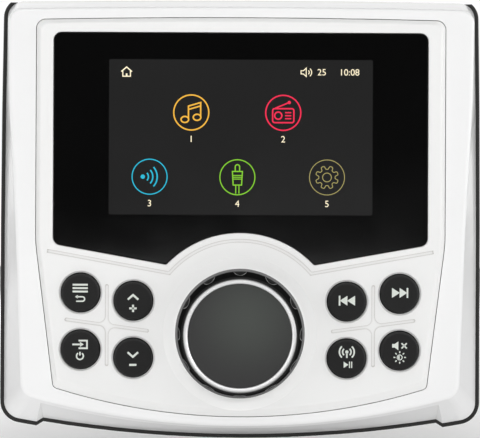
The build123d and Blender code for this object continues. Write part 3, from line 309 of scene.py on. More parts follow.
# Finishes
def use(tree, group, **inputs):
    """A shared effect placed in a material with its own values."""
    return put(tree, "ShaderNodeGroup", {"node_tree": group}, **inputs).outputs


def new_finish(name, **plain):
    """Material with a Principled shader: its tree, its shader's inputs and the place on the piece."""
    made = bpy.data.materials.new(name)
    made.use_nodes = True
    tree = made.node_tree
    tree.nodes.clear()
    shader = put(tree, "ShaderNodeBsdfPrincipled", **plain)
    tree.links.new(shader.outputs[0], put(tree, "ShaderNodeOutputMaterial").inputs["Surface"])
    return made, tree, shader.inputs, tree.nodes.new("ShaderNodeTexCoord").outputs["Object"]


def rgba(*colour):
    """Colour of a screen value from 0 to 255, as light."""
    level = np.array(colour if len(colour) == 3 else colour * 3) / 255
    light = np.where(level > 0.04045, ((level + 0.055) / 1.055) ** 2.4, level / 12.92)
    return (*light.tolist(), 1.0)


def relief(tree, shader, height, depth):
    """Bump of a real depth under a shader's normal."""
    bump = put(tree, "ShaderNodeBump", Strength=1.0, Distance=depth, Height=height)
    tree.links.new(bump.outputs[0], shader["Normal"])


def dress(tree, shader, spot, tone, rough, height, depth):
    """Gives a shader its colour, a patchy gloss between two roughnesses and a relief."""
    gloss = use(tree, GLOSS, Vector=spot, Low=rough[0], High=rough[1])
    relief(tree, shader, height, depth)
    tree.links.new(tone, shader["Base Color"])
    tree.links.new(gloss["Roughness"], shader["Roughness"])


def moulded(name, colour, shade, rough, grain, depth, reach=1.2 * MM, edge_highlight=None, **plain):
    """Moulded plastic or rubber: grain, patchy gloss, a painted shade in its recesses and, if asked,
    painted highlights along its edges.
    """
    made, tree, shader, spot = new_finish(name, **plain)
    # Painted shade: the colour darkens in recesses.
    tone = use(tree, PAINTED_RECESS_SHADE, Colour=colour, Shade=shade, Reach=reach)["Colour"]
    # Painted highlight: a lighter colour along convex edges.
    if edge_highlight:
        tone = use(tree, EDGE, Colour=tone, Worn=edge_highlight, Reach=HIGHLIGHT_REACH)["Colour"]
    grains = use(tree, GRAIN, Vector=spot, Size=grain)["Height"]
    dress(tree, shader, spot, tone, rough, grains, depth)
    return made


def inside(tree, spot, radius, soft=0.05 * MM):
    """1 within a radius of the knob's axis and 0 beyond it, with a soft edge."""
    away = use(tree, TURNED, Vector=spot, Centre=KNOB_AXIS)["Radius"]
    edge = put(tree, "ShaderNodeMapRange", From_Min=radius + soft, From_Max=radius - soft)
    feed(tree, edge.inputs["Value"], away)
    return edge.outputs[0]


def fascia_finish():
    """White front moulding: fine grain on the face, painted shade in its recesses, and a purer white
    painted on the dish round the knob to offset the shade the knob casts there.
    """
    made, tree, shader, spot = new_finish("fascia_white")
    # Painted light: the dish is whiter to lift the knob's shade.
    white = mixed(tree, inside(tree, spot, DISH_R), rgba(235, 235, 234), rgba(248, 248, 247))
    tone = use(tree, PAINTED_RECESS_SHADE, Colour=white, Shade=rgba(180, 176, 172), Reach=0.5 * MM)["Colour"]
    grains = use(tree, GRAIN, Vector=spot, Size=0.4 * MM)["Height"]
    dress(tree, shader, spot, tone, (0.3, 0.4), grains, 0.006 * MM)
    return made


def ring_finish():
    """Bright ring: satin metal with faint turning marks, and a darker colour on its outer slope that is
    painted shade.
    """
    made, tree, shader, spot = new_finish("ring_chrome", Metallic=0.6)
    # Painted shade: the outer slope beyond the crest is darker.
    crest = box_of("knob_ring")[1][0] - RING_CREST
    tone = mixed(tree, inside(tree, spot, crest, RING_SLOPE), rgba(125), rgba(254))
    marks = use(tree, TURNED, Vector=spot, Centre=KNOB_AXIS, Width=0.3 * MM)["Height"]
    dress(tree, shader, spot, tone, (0.3, 0.36), marks, 0.0001 * MM)
    return made


def base_finish():
    """Fixed ring under the knob: a dark seat with a satin grey lip outside the knob's flank."""
    made, tree, shader, spot = new_finish("base_grey", Specular_IOR_Level=0.25)
    tone = mixed(tree, inside(tree, spot, KNOB_R), rgba(118), rgba(40))
    marks = use(tree, TURNED, Vector=spot, Centre=KNOB_AXIS, Width=0.1 * MM)["Height"]
    dress(tree, shader, spot, tone, (0.3, 0.4), marks, 0.003 * MM)
    return made


def plated(name, colour, painted_shade, rough, grain, depth):
    """Plated or cast metal: patchy gloss, a duller colour painted as shade in its recesses and a fine
    grain.
    """
    return moulded(name, colour, painted_shade, rough, grain, depth, METAL_REACH, Metallic=1.0)


def cap_finish():
    """Knob cap in grey paint: faint turning marks, and a painted highlight, a lighter tone that falls off
    round a spot above its middle.
    """
    made, tree, shader, spot = new_finish("cap_grey", Specular_IOR_Level=0.4)
    marks = use(tree, TURNED, Vector=spot, Centre=KNOB_AXIS, Width=0.12 * MM)
    # Painted highlight: lighter round a spot above the cap's middle, darker towards its edge.
    bright = tuple(np.add(KNOB_AXIS, CAP_HIGHLIGHT_SPOT))
    away = use(tree, TURNED, Vector=spot, Centre=bright)["Radius"]
    highlight_fall = put(tree, "ShaderNodeMapRange", {"interpolation_type": "SMOOTHSTEP"}, From_Max=CAP_HIGHLIGHT_FALL)
    feed(tree, highlight_fall.inputs["Value"], away)
    tone = mixed(tree, highlight_fall.outputs[0], rgba(64, 67, 64), rgba(46, 46, 46))
    dress(tree, shader, spot, tone, (0.45, 0.56), marks["Height"], 0.005 * MM)
    return made


def window_finish():
    """Black print behind a clear sheet, with the display's own dark grey glow in its lit area."""
    made, tree, shader, spot = new_finish("window_print", IOR=1.45, Specular_IOR_Level=0.22)
    lit = use(tree, LIT, Vector=spot, Centre=tuple(SCREEN_MIDDLE), Half_Width=SCREEN_HALF[0],
              Half_Height=SCREEN_HALF[2], Corner=SCREEN_CORNER)
    gloss = use(tree, GLOSS, Vector=spot, Low=0.05, High=0.11, Size=0.03)
    drift = put(tree, "ShaderNodeTexNoise", Vector=spot, Scale=45.0, Detail=1.0)
    glow = mixed(tree, drift.outputs[0], rgba(31), rgba(36))
    tree.links.new(mixed(tree, lit["Mask"], rgba(7), rgba(9)), shader["Base Color"])
    tree.links.new(mixed(tree, lit["Mask"], (0, 0, 0, 1), glow), shader["Emission Color"])
    shader["Emission Strength"].default_value = 1.0
    tree.links.new(gloss["Roughness"], shader["Roughness"])
    return made


def lit_sign(name, colour, strength=1.0):
    """Lit sign of the display: its own light, uneven by a few parts in a hundred."""
    made, tree, shader, spot = new_finish(name, Base_Color=rgba(6), Roughness=0.1)
    drift = put(tree, "ShaderNodeTexNoise", Vector=spot, Scale=900.0, Detail=1.0)
    dim = tuple(0.9 * level for level in colour[:3]) + (1.0,)
    tree.links.new(mixed(tree, drift.outputs[0], dim, colour), shader["Emission Color"])
    shader["Emission Strength"].default_value = strength
    return made


def insulator_pair():
    """White and red socket insulators, told apart by where they lie."""
    made, tree, shader, spot = new_finish("line_insulators")
    split = put(tree, "ShaderNodeSeparateXYZ", Vector=spot)
    side = calc(tree, "GREATER_THAN", split.outputs["X"], SOCKET_SPLIT_X)
    colour = mixed(tree, side, rgba(190, 28, 30), rgba(232, 230, 222))
    # Painted shade: the colour darkens in the insulators' recesses.
    tone = use(tree, PAINTED_RECESS_SHADE, Colour=colour, Shade=rgba(70, 50, 45), Reach=1.0 * MM)["Colour"]
    gloss = use(tree, GLOSS, Vector=spot, Low=0.3, High=0.45)
    tree.links.new(tone, shader["Base Color"])
    tree.links.new(gloss["Roughness"], shader["Roughness"])
    return made


def board_finish():
    """Green board: solder resist with a faint grid of covered tracks."""
    made, tree, shader, spot = new_finish("board_resist")
    grid = put(tree, "ShaderNodeTexBrick", Vector=spot, Scale=180.0, Mortar_Size=0.03)
    grid.inputs["Color1"].default_value = rgba(18, 86, 48)
    grid.inputs["Color2"].default_value = rgba(14, 74, 42)
    grid.inputs["Mortar"].default_value = rgba(40, 120, 70)
    gloss = use(tree, GLOSS, Vector=spot, Low=0.25, High=0.4)
    tree.links.new(grid.outputs[0], shader["Base Color"])
    tree.links.new(gloss["Roughness"], shader["Roughness"])
    return made


def floor_finish():
    """Pale light table: a white sheet with a faint drift of tone, lit a little from below."""
    made, tree, shader, spot = new_finish("floor_sheet", Roughness=0.8, Emission_Strength=0.15)
    shader["Emission Color"].default_value = (1, 1, 1, 1)
    drift = put(tree, "ShaderNodeTexNoise", Vector=spot, Scale=2.0, Detail=2.0)
    tree.links.new(mixed(tree, drift.outputs[0], rgba(236), rgba(242)), shader["Base Color"])
    return made


def room():
    """Pale room: white to the eye, with a darker patch before the face for the gloss to show."""
    world = bpy.data.worlds.new("room")
    bpy.context.scene.world = world
    world.use_nodes = True
    tree = world.node_tree
    tree.nodes.clear()
    way = tree.nodes.new("ShaderNodeTexCoord").outputs["Generated"]
    split = put(tree, "ShaderNodeSeparateXYZ", Vector=way)
    soft = {"interpolation_type": "SMOOTHSTEP"}
    ahead = put(tree, "ShaderNodeMapRange", soft, From_Min=-0.985, From_Max=-0.9)
    feed(tree, ahead.inputs["Value"], split.outputs["Y"])
    dim, bright, white = (0.05, 0.05, 0.05, 1), (1.2, 1.2, 1.2, 1), (1, 1, 1, 1)
    mirrored = mixed(tree, ahead.outputs[0], dim, bright)
    path = tree.nodes.new("ShaderNodeLightPath").outputs
    around = mixed(tree, path["Is Glossy Ray"], dim, mirrored)
    seen = mixed(tree, path["Is Camera Ray"], around, white)
    shade = put(tree, "ShaderNodeBackground", Color=seen)
    tree.links.new(shade.outputs[0], put(tree, "ShaderNodeOutputWorld").inputs["Surface"])


# Shapes that the printed and lit signs are drawn with, in millimetres on the face
def grid_faces(rows, columns, around):
    """Quads between neighbouring grid points; the columns close on themselves, and the rows if around."""
    row = np.arange(rows if around else rows - 1)[:, None]
    column = np.arange(columns)[None, :]
    below, right = (row + 1) % rows, (column + 1) % columns
    here, after = row * columns, below * columns
    quads = [here + column, here + right, after + right, after + column]
    return np.stack(np.broadcast_arrays(*quads), -1).reshape(-1, 4)


def stroke(path, width, closed=False):
    """Raised line: a rectangle of its width carried along a path.
    Point(i, k) = path(i) + across(k) * mitred normal(i), raised by lift(k)."""
    path = np.asarray(path, float)
    step = np.roll(path, -1, 0) - path
    if not closed:
        step[-1] = step[-2]
    step = step / np.linalg.norm(step, axis=1, keepdims=True)
    before = np.roll(step, 1, 0)
    if not closed:
        before[0] = step[0]
    turn = np.stack([-step[:, 1], step[:, 0]], 1)
    last = np.stack([-before[:, 1], before[:, 0]], 1)
    mitre = (turn + last) / (1 + (turn * last).sum(1))[:, None]
    across = np.array([-0.5, -0.5, 0.5, 0.5]) * width
    flat = path[:, None, :] + across[None, :, None] * mitre[:, None, :]
    lift = np.broadcast_to(np.array([0.0, 1.0, 1.0, 0.0])[None, :, None], flat.shape[:2] + (1,))
    points = np.concatenate([flat, lift], 2).reshape(-1, 3)
    faces = grid_faces(len(path), 4, closed)
    if not closed:
        faces = np.concatenate([faces, [[3, 2, 1, 0]], len(points) - 4 + np.array([[0, 1, 2, 3]])])
    return points, faces


def patch(outline):
    """Raised plate: rings from the middle to the outline, up its edge and back to the middle.
    Point(s, i) = middle + share(s) * (outline(i) - middle), raised by lift(s)."""
    outline = np.asarray(outline, float)
    middle = outline.mean(0)
    share = np.array([0.0, 1.0, 1.0, 0.0])[:, None, None]
    flat = middle + share * (outline - middle)[None]
    lift = np.broadcast_to(np.array([0.0, 0.0, 1.0, 1.0])[:, None, None], flat.shape[:2] + (1,))
    points = np.concatenate([flat, lift], 2).reshape(-1, 3)
    return points, grid_faces(4, len(outline), False)


def arc(radius, start, end, count=24, centre=(0.0, 0.0), squash=1.0):
    """Part of an ellipse: centre + radius * (cos a, squash * sin a), a from start to end in degrees."""
    a = np.radians(np.linspace(start, end, count))
    return np.array(centre) + radius * np.stack([np.cos(a), squash * np.sin(a)], 1)


def ring(radius, count=48, centre=(0.0, 0.0), squash=1.0):
    """Whole ellipse without its last, repeated point."""
    return arc(radius, 0, 360 - 360 / count, count, centre, squash)


def soft_box(width, height, corner, centre=(0.0, 0.0)):
    """Rounded rectangle: four quarter circles at its corners."""
    a = np.radians(np.linspace(0, 90, 6)[None, :] + 90 * np.arange(4)[:, None])
    sx = np.array([1, -1, -1, 1])[:, None] * (width / 2 - corner)
    sz = np.array([1, 1, -1, -1])[:, None] * (height / 2 - corner)
    flat = np.stack([sx + corner * np.cos(a), sz + corner * np.sin(a)], -1)
    return flat.reshape(-1, 2) + np.array(centre)


def triangle(tip, base, half):
    """Solid triangle from a tip to the middle of its base."""
    tip, base = np.array(tip, float), np.array(base, float)
    along = (base - tip) / np.linalg.norm(base - tip)
    side = half * np.array([-along[1], along[0]])
    return patch([tip, base + side, base - side])


def clean(mesh):
    """Merges a mesh's repeated points and turns its faces outwards."""
    work = bmesh.new()
    work.from_mesh(mesh)
    bmesh.ops.remove_doubles(work, verts=work.verts, dist=1e-8)
    bmesh.ops.dissolve_degenerate(work, edges=work.edges, dist=1e-8)
    bmesh.ops.recalc_face_normals(work, faces=work.faces)
    work.to_mesh(mesh)
    work.free()


def sign(name, parts, place, front, finish, body):
    """Sign on the face: parts drawn in millimetres round a place, raised from a front surface
    and sunk into it by a share of their rise."""
    counts = np.cumsum([0] + [len(points) for points, _ in parts])
    points = np.concatenate([points for points, _ in parts])
    faces = np.concatenate([quads + start for (_, quads), start in zip(parts, counts)])
    x = place[0] + points[:, 0] * MM
    z = place[1] + points[:, 1] * MM
    y = -front + PRINT_SINK * PRINT_LIFT - (1 + PRINT_SINK) * PRINT_LIFT * points[:, 2]
    mesh = bpy.data.meshes.new(name)
    mesh.from_pydata(np.stack([x, y, z], 1).tolist(), [], faces.tolist())
    clean(mesh)
    return finished(name, mesh, finish, body)


def finished(name, mesh, finish, body):
    """Puts a mesh in the scene with its finish, riding on a body."""
    mesh.materials.append(finish)
    made = bpy.data.objects.new(name, mesh)
    bpy.context.scene.collection.objects.link(made)
    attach(made, body)
    return made


def figures(name, text, place, finish):
    """Plain numbers on the display: a font's outline with a thin wall, turned to the viewer.
    Point (u, v, w) of the outline goes to place + (u, -w, v), a little before the window."""
    curve = bpy.data.curves.new(name, "FONT")
    curve.body = text
    curve.size = FIGURE_SIZE * MM
    curve.align_x = "CENTER"
    curve.align_y = "CENTER"
    curve.extrude = PRINT_LIFT / 2
    holder = bpy.data.objects.new(name + "_outline", curve)
    bpy.context.scene.collection.objects.link(holder)
    graph = bpy.context.evaluated_depsgraph_get()
    mesh = bpy.data.meshes.new_from_object(holder.evaluated_get(graph))
    bpy.data.objects.remove(holder)
    bpy.data.curves.remove(curve)
    points = np.zeros(len(mesh.vertices) * 3)
    mesh.vertices.foreach_get("co", points)
    u, v, w = points.reshape(-1, 3).T
    rise = 0.3 * PRINT_LIFT
    placed = np.stack([place[0] + u, -WINDOW_FRONT - rise - w, place[1] + v], 1)
    mesh.vertices.foreach_set("co", placed.ravel())
    mesh.name = name
    clean(mesh)
    return finished(name, mesh, finish, "housing")


# Signs on the buttons: plain symbols
def menu_sign():
    """Three list bars over an arrow that turns back."""
    bars = [stroke([(-1.9, v), (1.9, v)], 0.46) for v in (2.0, 1.15, 0.3)]
    hook = np.concatenate([[(-0.75, -1.0)], arc(0.56, 90, -90, 14, (0.55, -1.56)), [(-1.0, -2.12)]])
    return bars + [stroke(hook, 0.34), triangle((-1.3, -1.0), (-0.6, -1.0), 0.48)]


def up_sign():
    """Chevron pointing up over a plus."""
    return [stroke([(-1.3, 0.35), (0, 1.5), (1.3, 0.35)], 0.5)] + plus_bars(-1.85)


def down_sign():
    """Chevron pointing down over a minus."""
    minus = stroke([(-0.9, -1.75), (0.9, -1.75)], 0.52)
    return [stroke([(-1.3, 1.4), (0, 0.25), (1.3, 1.4)], 0.5), minus]


def plus_bars(v):
    """Plus sign as two bars."""
    return [stroke([(-0.92, v), (0.92, v)], 0.5), stroke([(0, v - 0.92), (0, v + 0.92)], 0.5)]


def source_sign():
    """Arrow into an open box over a power mark."""
    box = [(-0.35, 2.25), (1.75, 2.25), (1.75, 0.35), (-0.35, 0.35)]
    arrow = [stroke([(-1.9, 1.3), (0.1, 1.3)], 0.42), triangle((0.95, 1.3), (0.0, 1.3), 0.62)]
    mark = [stroke(arc(0.85, 125, 415, 30, (0, -1.6)), 0.36), stroke([(0, -1.45), (0, -0.55)], 0.36)]
    return [stroke(box, 0.42)] + arrow + mark


def skip_sign(way):
    """Two triangles and a bar, pointing one way."""
    ends = ((1.8, -0.1), (-0.02, -2.0))
    heads = [triangle((way * tip, 0.3), (way * base, 0.3), 1.24) for tip, base in ends]
    return heads + [stroke([(way * 1.86, -0.94), (way * 1.86, 1.54)], 0.42)]


def band_sign():
    """Mast with waves on both sides over a play and pause mark."""
    waves = [stroke(arc(r, a - 48, a + 48, 14, (0, 1.7)), 0.38) for r in (1.05, 1.85) for a in (0, 180)]
    mast = [patch(ring(0.42, 20, (0, 1.7))), stroke([(0, 1.4), (0, 0.2)], 0.4)]
    play = [triangle((0.4, -1.5), (-0.78, -1.5), 0.8)]
    return waves + mast + play + [stroke([(u, -2.3), (u, -0.7)], 0.27) for u in (0.68, 1.22)]


def mute_sign():
    """Crossed-out speaker over a sun, half of it filled."""
    cone = patch([(-1.9, 0.85), (-1.25, 0.85), (-0.35, 0.2), (-0.35, 2.4), (-1.25, 1.75), (-1.9, 1.75)])
    cross = [stroke([(0.45, 1.3 - s * 0.65), (1.75, 1.3 + s * 0.65)], 0.38) for s in (1, -1)]
    rays = [stroke(spoke(k * 45.0, 1.08, 1.55, (0, -1.6)), 0.3) for k in range(8)]
    sun = [stroke(ring(0.62, 28, (0, -1.6)), 0.24, True), patch(arc(0.6, 90, 270, 16, (0, -1.6)))]
    return [cone] + cross + rays + sun


def spoke(angle, inner, outer, centre):
    """Straight line along a direction, between two distances from a centre."""
    way = np.array([np.cos(np.radians(angle)), np.sin(np.radians(angle))])
    return np.array(centre) + np.array([[inner], [outer]]) * way


# Signs on the display: line drawings in rings
def note_icon():
    """Two joined notes."""
    heads = [stroke(ring(0.95, 28, c, 0.8), 0.36, True) for c in ((-1.6, -1.75), (1.45, -1.2))]
    beam = [(-0.7, -1.6), (-0.7, 1.6), (2.35, 2.5), (2.35, -1.1)]
    return heads + [stroke(beam, 0.36), stroke([(-0.7, 0.75), (2.35, 1.65)], 0.36)]


def radio_icon():
    """Table radio with a dial, three lines and a rod."""
    case = stroke(soft_box(5.3, 3.5, 0.5, (0.0, -0.7)), 0.36, True)
    dial = stroke(ring(0.9, 28, (-1.25, -0.7)), 0.36, True)
    lines = [stroke([(0.45, v), (2.0, v)], 0.32) for v in (0.05, -0.7, -1.45)]
    rod = [stroke([(-2.0, 1.15), (1.5, 2.6)], 0.34), patch(ring(0.42, 18, (1.5, 2.6)))]
    return [case, dial] + lines + rod


def waves_icon():
    """Dot with three waves going out from it."""
    waves = [stroke(arc(r, -42, 42, 18, (-1.7, 0.0)), 0.36) for r in (1.4, 2.5, 3.6)]
    return waves + [patch(ring(0.55, 22, (-1.7, 0.0)))]


def plug_icon():
    """Round plug on its lead."""
    tip = np.concatenate([[(-0.55, 1.45)], arc(0.55, 180, 0, 12, (0, 2.6)), [(0.55, 1.45)]])
    body = [(-1.25, 1.45), (1.25, 1.45), (1.05, -1.95), (-1.05, -1.95)]
    bands = [stroke([(-1.15, v), (1.15, v)], 0.24) for v in (0.45, 0.0, -0.45)]
    lead = [stroke([(u, -2.1), (u, -4.1)], 0.26) for u in (-0.4, 0.4)]
    return [stroke(tip, 0.3), stroke(body, 0.3, True)] + bands + lead


def gear_icon():
    """Gear with eight teeth: radius = middle + half tooth * flattened cosine of 8 times the angle."""
    a = np.radians(np.arange(0, 360, 2.5))
    radius = 2.45 + 0.42 * np.tanh(2.6 * np.cos(8 * a)) / np.tanh(2.6)
    teeth = np.stack([radius * np.cos(a + np.pi / 8), radius * np.sin(a + np.pi / 8)], 1)
    return [stroke(teeth, 0.19, True), stroke(ring(1.1, 32), 0.19, True)]


def house_icon():
    """Small house: a roof over walls with a door."""
    roof = stroke([(-1.35, 0.1), (0, 1.25), (1.35, 0.1)], 0.3)
    walls = stroke([(-0.95, 0.25), (-0.95, -1.05), (0.95, -1.05), (0.95, 0.25)], 0.26)
    return [roof, walls, stroke([(0, -1.0), (0, -0.35)], 0.42)]


def speaker_icon():
    """Speaker outline with two waves."""
    cone = [(-1.7, 0.4), (-1.1, 0.4), (-0.4, 1.05), (-0.4, -1.05), (-1.1, -0.4), (-1.7, -0.4)]
    waves = [stroke(arc(r, -48, 48, 12, (-0.3, 0)), 0.22) for r in (0.65, 1.25)]
    return [stroke(cone, 0.22, True)] + waves


# Solid pieces: pale lips on the knob that stand in for edge highlights, and screws in the rear cover
def scallop_lips():
    """Fine raised lips on the knob's flank: a pale tube carried along the edge of each scallop, a painted
    highlight.
    The edge is where a round groove along Y meets the cone. Seen along Y it is
    path(b) = groove's middle + groove's radius * direction(b), and its height
    is the share of the taper by which it lies inside the knob's foot.
    Point(b, k) = path(b) + lip * swell(b) * (outward * cos k + across * sin k), no swell at the ends."""
    middle = KNOB_R - SCALLOP_DEPTH + SCALLOP_R
    share = np.linspace(-1.0, 1.0, LIP_STEPS)
    widest = math.acos((middle**2 + SCALLOP_R**2 - KNOB_R**2) / (2 * middle * SCALLOP_R))
    b = share * widest
    turn = np.radians(np.arange(SCALLOP_COUNT) * 360 / SCALLOP_COUNT)[:, None]
    flat = middle * np.exp(1j * turn) - SCALLOP_R * np.exp(1j * (turn + b[None, :]))
    away = np.abs(flat)
    height = KNOB_H * (KNOB_R - away) / (KNOB_R - KNOB_TOP_R)
    y = np.full(away.shape, KNOB_H - front_of("knob_body")) - height
    path = np.stack([KNOB_AXIS[0] + flat.real, y, KNOB_AXIS[2] + flat.imag], -1)
    outward = np.stack([flat.real, np.zeros_like(away), flat.imag], -1) / away[..., None]
    along = np.gradient(path, axis=1)
    across = np.cross(along, outward)
    across /= np.linalg.norm(across, axis=-1, keepdims=True)
    swell = (1 - share**8)[None, :, None, None]
    k = np.radians(np.arange(0, 360, 45))[:, None]
    tube = outward[:, :, None, :] * np.cos(k) + across[:, :, None, :] * np.sin(k)
    points = path[:, :, None, :] + LIP_R * swell * tube
    faces = grid_faces(len(b), len(k), False)
    every = (np.arange(SCALLOP_COUNT) * len(b) * len(k))[:, None, None] + faces[None]
    mesh = bpy.data.meshes.new("knob_highlight_lips")
    mesh.from_pydata(points.reshape(-1, 3).tolist(), [], every.reshape(-1, 4).tolist())
    clean(mesh)
    mesh.shade_smooth()
    return mesh


def cross_arm(p, q, radius):
    """1 on one arm of a cross in a screw head, narrow along p and long along q, with soft edges."""
    narrow, long, soft = 0.13 * radius, 0.58 * radius, 0.1 * radius
    return np.clip((narrow - abs(p)) / soft + 0.5, 0, 1) * np.clip((long - abs(q)) / soft + 0.5, 0, 1)


def pan_screws(places, seat, radius, height, shank, length):
    """Pan-head screws along Y. Point(i, a) = (r(i) cos a, y(i) - drop(i, a), r(i) sin a): shank, head
    and a dome, with a drop of a little over half the head's height on the arms of a cross."""
    dome = np.linspace(1.0, 0.0, SCREW_DOME_STEPS)
    r = np.concatenate([[0.0, shank, shank, radius * 0.98, radius], radius * dome[1:]])
    rise = height * (SCREW_DOME_FOOT + (1 - SCREW_DOME_FOOT) * np.sqrt(1 - dome**2))
    y = np.concatenate([[-length, -length, 0.0, 0.0, height * 0.3], rise[1:]])
    a = np.radians(np.arange(0, 360, 3.75))
    u, v = r[:, None] * np.cos(a), r[:, None] * np.sin(a)
    rows_below = len(r) - len(dome) + 1
    top = (np.arange(len(r)) > rows_below)[:, None]
    cross = np.maximum(cross_arm(u, v, radius), cross_arm(v, u, radius))
    drop = SCREW_CROSS_DEPTH * height * cross * top
    grid = np.stack([u, np.broadcast_to(y[:, None], u.shape) - drop, v], -1).reshape(-1, 3)
    faces = grid_faces(len(r), len(a), False)
    spots = np.array([(x, seat, z) for x, z in places])
    points = (spots[:, None, :] + grid[None]).reshape(-1, 3)
    every = (np.arange(len(places)) * len(grid))[:, None, None] + faces[None]
    mesh = bpy.data.meshes.new("rear_screws")
    mesh.from_pydata(points.tolist(), [], every.reshape(-1, 4).tolist())
    clean(mesh)
    mesh.shade_smooth()
    return mesh


# The scene: camera, lamps, floor, finishes and added pieces
studio()
room()
softbox("front", (0.0, -2.35, 0.25), (0.55, 0.55), 35.0, mirrored=False)
softbox("left", (-1.2, -0.25, 0.15), (0.7, 0.9), 1.1)
softbox("right", (1.2, -0.25, 0.15), (0.7, 0.9), 5.0)
softbox("top", (-0.1, -0.45, 1.1), (1.0, 0.8), 2.6, mirrored=False)
softbox("back", (-0.5, 1.0, 0.6), (0.8, 0.6), 12.0, mirrored=False)

floor_z = cad_low.z - FLOOR_GAP
floor_ways = ((-1, -1), (1, -1), (1, 1), (-1, 1))
floor_corners = [(u * FLOOR_HALF, v * FLOOR_HALF, floor_z) for u, v in floor_ways]
floor_mesh = bpy.data.meshes.new("floor")
floor_mesh.from_pydata(floor_corners, [], [(0, 1, 2, 3)])
floor_mesh.materials.append(floor_finish())
floor = bpy.data.objects.new("floor", floor_mesh)
bpy.context.scene.collection.objects.link(floor)

# Painted shade for the recesses of the white surround.
white_shade = rgba(222, 219, 216)
# Each moulded finish's second colour is painted shade for its recesses; the colours given for edges are
# painted highlights.
finishes = {
    "surround_white": moulded("surround_white", rgba(238), white_shade, (0.2, 0.27), 0.5 * MM, 0.004 * MM,
                              reach=0.6 * MM, Coat_Weight=0.3, Coat_Roughness=0.08),
    "fascia_white": fascia_finish(),
    "button_black": moulded("button_black", rgba(22), rgba(14), (0.5, 0.62), 0.22 * MM, 0.012 * MM,
                            edge_highlight=rgba(74), Specular_IOR_Level=0.3),
    "knob_black": moulded("knob_black", rgba(28), rgba(12), (0.45, 0.56), 0.3 * MM, 0.006 * MM,
                          edge_highlight=rgba(70), Specular_IOR_Level=0.0),
    "frame_black": moulded("frame_black", rgba(34, 34, 33), rgba(20), (0.45, 0.6), 0.35 * MM, 0.02 * MM,
                           edge_highlight=rgba(52), Specular_IOR_Level=0.3),
    "barrel_black": moulded("barrel_black", rgba(34, 34, 35), rgba(20), (0.45, 0.6), 0.45 * MM, 0.03 * MM,
                            edge_highlight=rgba(52)),
    "socket_black": moulded("socket_black", rgba(46, 46, 48), rgba(18), (0.4, 0.5), 0.3 * MM, 0.01 * MM),
    "gasket_foam": moulded("gasket_foam", rgba(30), rgba(14), (0.8, 0.95), 0.35 * MM, 0.06 * MM),
    "seal_rubber": moulded("seal_rubber", rgba(26, 26, 27), rgba(14), (0.6, 0.75), 0.3 * MM, 0.02 * MM),
    "mat_silicone": moulded("mat_silicone", rgba(178, 182, 178), rgba(120), (0.5, 0.65),
                            0.3 * MM, 0.01 * MM),
    "insulator_white": moulded("insulator_white", rgba(228, 226, 216), rgba(150, 140, 125), (0.35, 0.5),
                               0.3 * MM, 0.008 * MM),
    "chip_case": moulded("chip_case", rgba(42, 42, 45), rgba(24), (0.6, 0.75), 0.2 * MM, 0.015 * MM),
    "sleeve_blue": moulded("sleeve_blue", rgba(38, 60, 120), rgba(20, 30, 70), (0.25, 0.4),
                           0.5 * MM, 0.004 * MM),
    "display_glass": moulded("display_glass", rgba(20, 20, 23), rgba(12), (0.08, 0.14),
                             0.5 * MM, 0.001 * MM),
    "cap_grey": cap_finish(),
    "base_grey": base_finish(),
    "ring_chrome": ring_finish(),
    "steel_plated": plated("steel_plated", rgba(196, 196, 194), rgba(140), (0.25, 0.38),
                           0.25 * MM, 0.004 * MM),
    "nickel": plated("nickel", rgba(214, 210, 202), rgba(150, 142, 130), (0.16, 0.26),
                     0.4 * MM, 0.003 * MM),
    "gold_plate": plated("gold_plate", rgba(226, 188, 112), rgba(150, 115, 60), (0.2, 0.3),
                         0.3 * MM, 0.003 * MM),
    "sink_cast": moulded("sink_cast", rgba(52, 53, 55), rgba(28), (0.42, 0.56), 0.5 * MM, 0.03 * MM,
                         edge_highlight=rgba(96), Metallic=0.55),
    "window_print": window_finish(),
    "board_resist": board_finish(),
    "line_insulators": insulator_pair(),
}
worn_by = {
    "surround_white": ["surround"],
    "fascia_white": ["fascia"],
    "window_print": ["display_window"],
    "button_black": [name for name in nodes if name.startswith("button_")],
    "knob_black": ["knob_body"],
    "ring_chrome": ["knob_ring"],
    "cap_grey": ["knob_cap"],
    "base_grey": ["knob_base_ring"],
    "frame_black": ["front_frame"],
    "barrel_black": ["barrel"],
    "socket_black": ["harness_socket"],
    "gasket_foam": ["dash_gasket", "window_adhesive", "display_pad"],
    "seal_rubber": ["display_gasket", "fascia_seal", "barrel_seal", "rear_seal", "encoder_seal"],
    "mat_silicone": ["keypad_mat_left", "keypad_mat_right", "thermal_pad"],
    "insulator_white": ["antenna_insulator", "ribbon_cable", "ribbon_plugs", "encoder_rotor"],
    "line_insulators": ["line_out_insulators"],
    "chip_case": ["amplifier_chip"],
    "sleeve_blue": ["capacitors"],
    "display_glass": ["display_panel"],
    "steel_plated": ["backlight_tray", "tuner_can", "encoder_case", "encoder_nut", "encoder_washer",
                     "push_dome", "fascia_screws", "board_screws", "housing_screws", "main_board_screws",
                     "heat_sink_screws"],
    "nickel": ["antenna_socket"],
    "gold_plate": ["line_out_sockets", "harness_pins", "encoder_shaft"],
    "sink_cast": ["heat_sink"],
    "board_resist": ["front_board", "main_board"],
}
for finish, wearers in worn_by.items():
    for name in wearers:
        nodes[name].data.materials.clear()
        nodes[name].data.materials.append(finishes[finish])

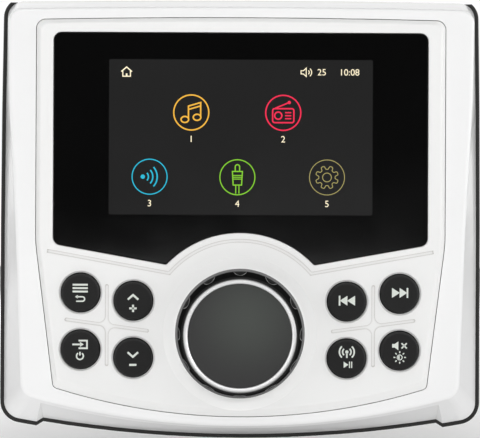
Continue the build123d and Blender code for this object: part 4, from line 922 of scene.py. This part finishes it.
print_white = moulded("print_white", rgba(214, 219, 212), rgba(180), (0.45, 0.6), 0.2 * MM, 0.003 * MM)
button_signs = {
    "menu": menu_sign(),
    "source": source_sign(),
    "channel_up": up_sign(),
    "channel_down": down_sign(),
    "previous": skip_sign(-1),
    "next": skip_sign(1),
    "band": band_sign(),
    "mute": mute_sign(),
}
for name, parts in button_signs.items():
    cap = "button_" + name
    x, _, z = box_of(cap)[0]
    sign("sign_" + name, parts, (x, z), front_of(cap), print_white, name + "_button")

cream = lit_sign("lit_cream", rgba(255, 242, 208), 1.2)
icons = {
    "note": ((-12.4, 26.65), 0.34, rgba(255, 192, 72), note_icon()),
    "radio": ((10.6, 26.65), 0.34, rgba(255, 52, 88), radio_icon()),
    "waves": ((-22.75, 10.55), 0.27, rgba(46, 190, 220), waves_icon()),
    "plug": ((-0.8, 10.5), 0.27, rgba(136, 208, 54), plug_icon()),
    "gear": ((21.6, 10.55), 0.18, rgba(178, 168, 106), gear_icon()),
}
for count, (name, ((x, z), width, colour, parts)) in enumerate(icons.items(), 1):
    finish = lit_sign("lit_" + name, colour)
    circle = [stroke(ring(ICON_RING_R, 72), width, True)]
    sign("icon_" + name, circle + parts, (x * MM, z * MM), WINDOW_FRONT, finish, "housing")
    figures("label_" + name, str(count), (x * MM, (z - LABEL_DROP) * MM), cream)
sign("icon_house", house_icon(), (-28.6 * MM, 36.7 * MM), WINDOW_FRONT, cream, "housing")
sign("icon_speaker", speaker_icon(), (16.7 * MM, 36.8 * MM), WINDOW_FRONT, cream, "housing")
figures("figures_level", "25", (20.2 * MM, STATUS_Z * MM), cream)
figures("figures_clock", "10:08", (27.1 * MM, STATUS_Z * MM), cream)

# Pale grey lips stand in for the highlight along the scallops' edges: painted highlight.
lip_highlight_grey = moulded("lip_highlight_grey", rgba(104), rgba(60), (0.4, 0.5), 0.2 * MM, 0.002 * MM)
finished("knob_highlight_lips", scallop_lips(), lip_highlight_grey, "knob")

middle, half = box_of("heat_sink_screws")
around = half[0] - SCREW_HEAD_R
posts = [(0.0, around), (0.0, -around), (around, 0.0), (-around, 0.0)]
seat = middle[1] + half[1] - SCREW_HEAD_T
length = seat - middle[1] + half[1]
screw_mesh = pan_screws(posts, seat, SCREW_HEAD_R, SCREW_HEAD_T, SCREW_HEAD_R / 2, length)
screws = finished("rear_screws", screw_mesh, finishes["steel_plated"], "housing")
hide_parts("heat_sink_screws")
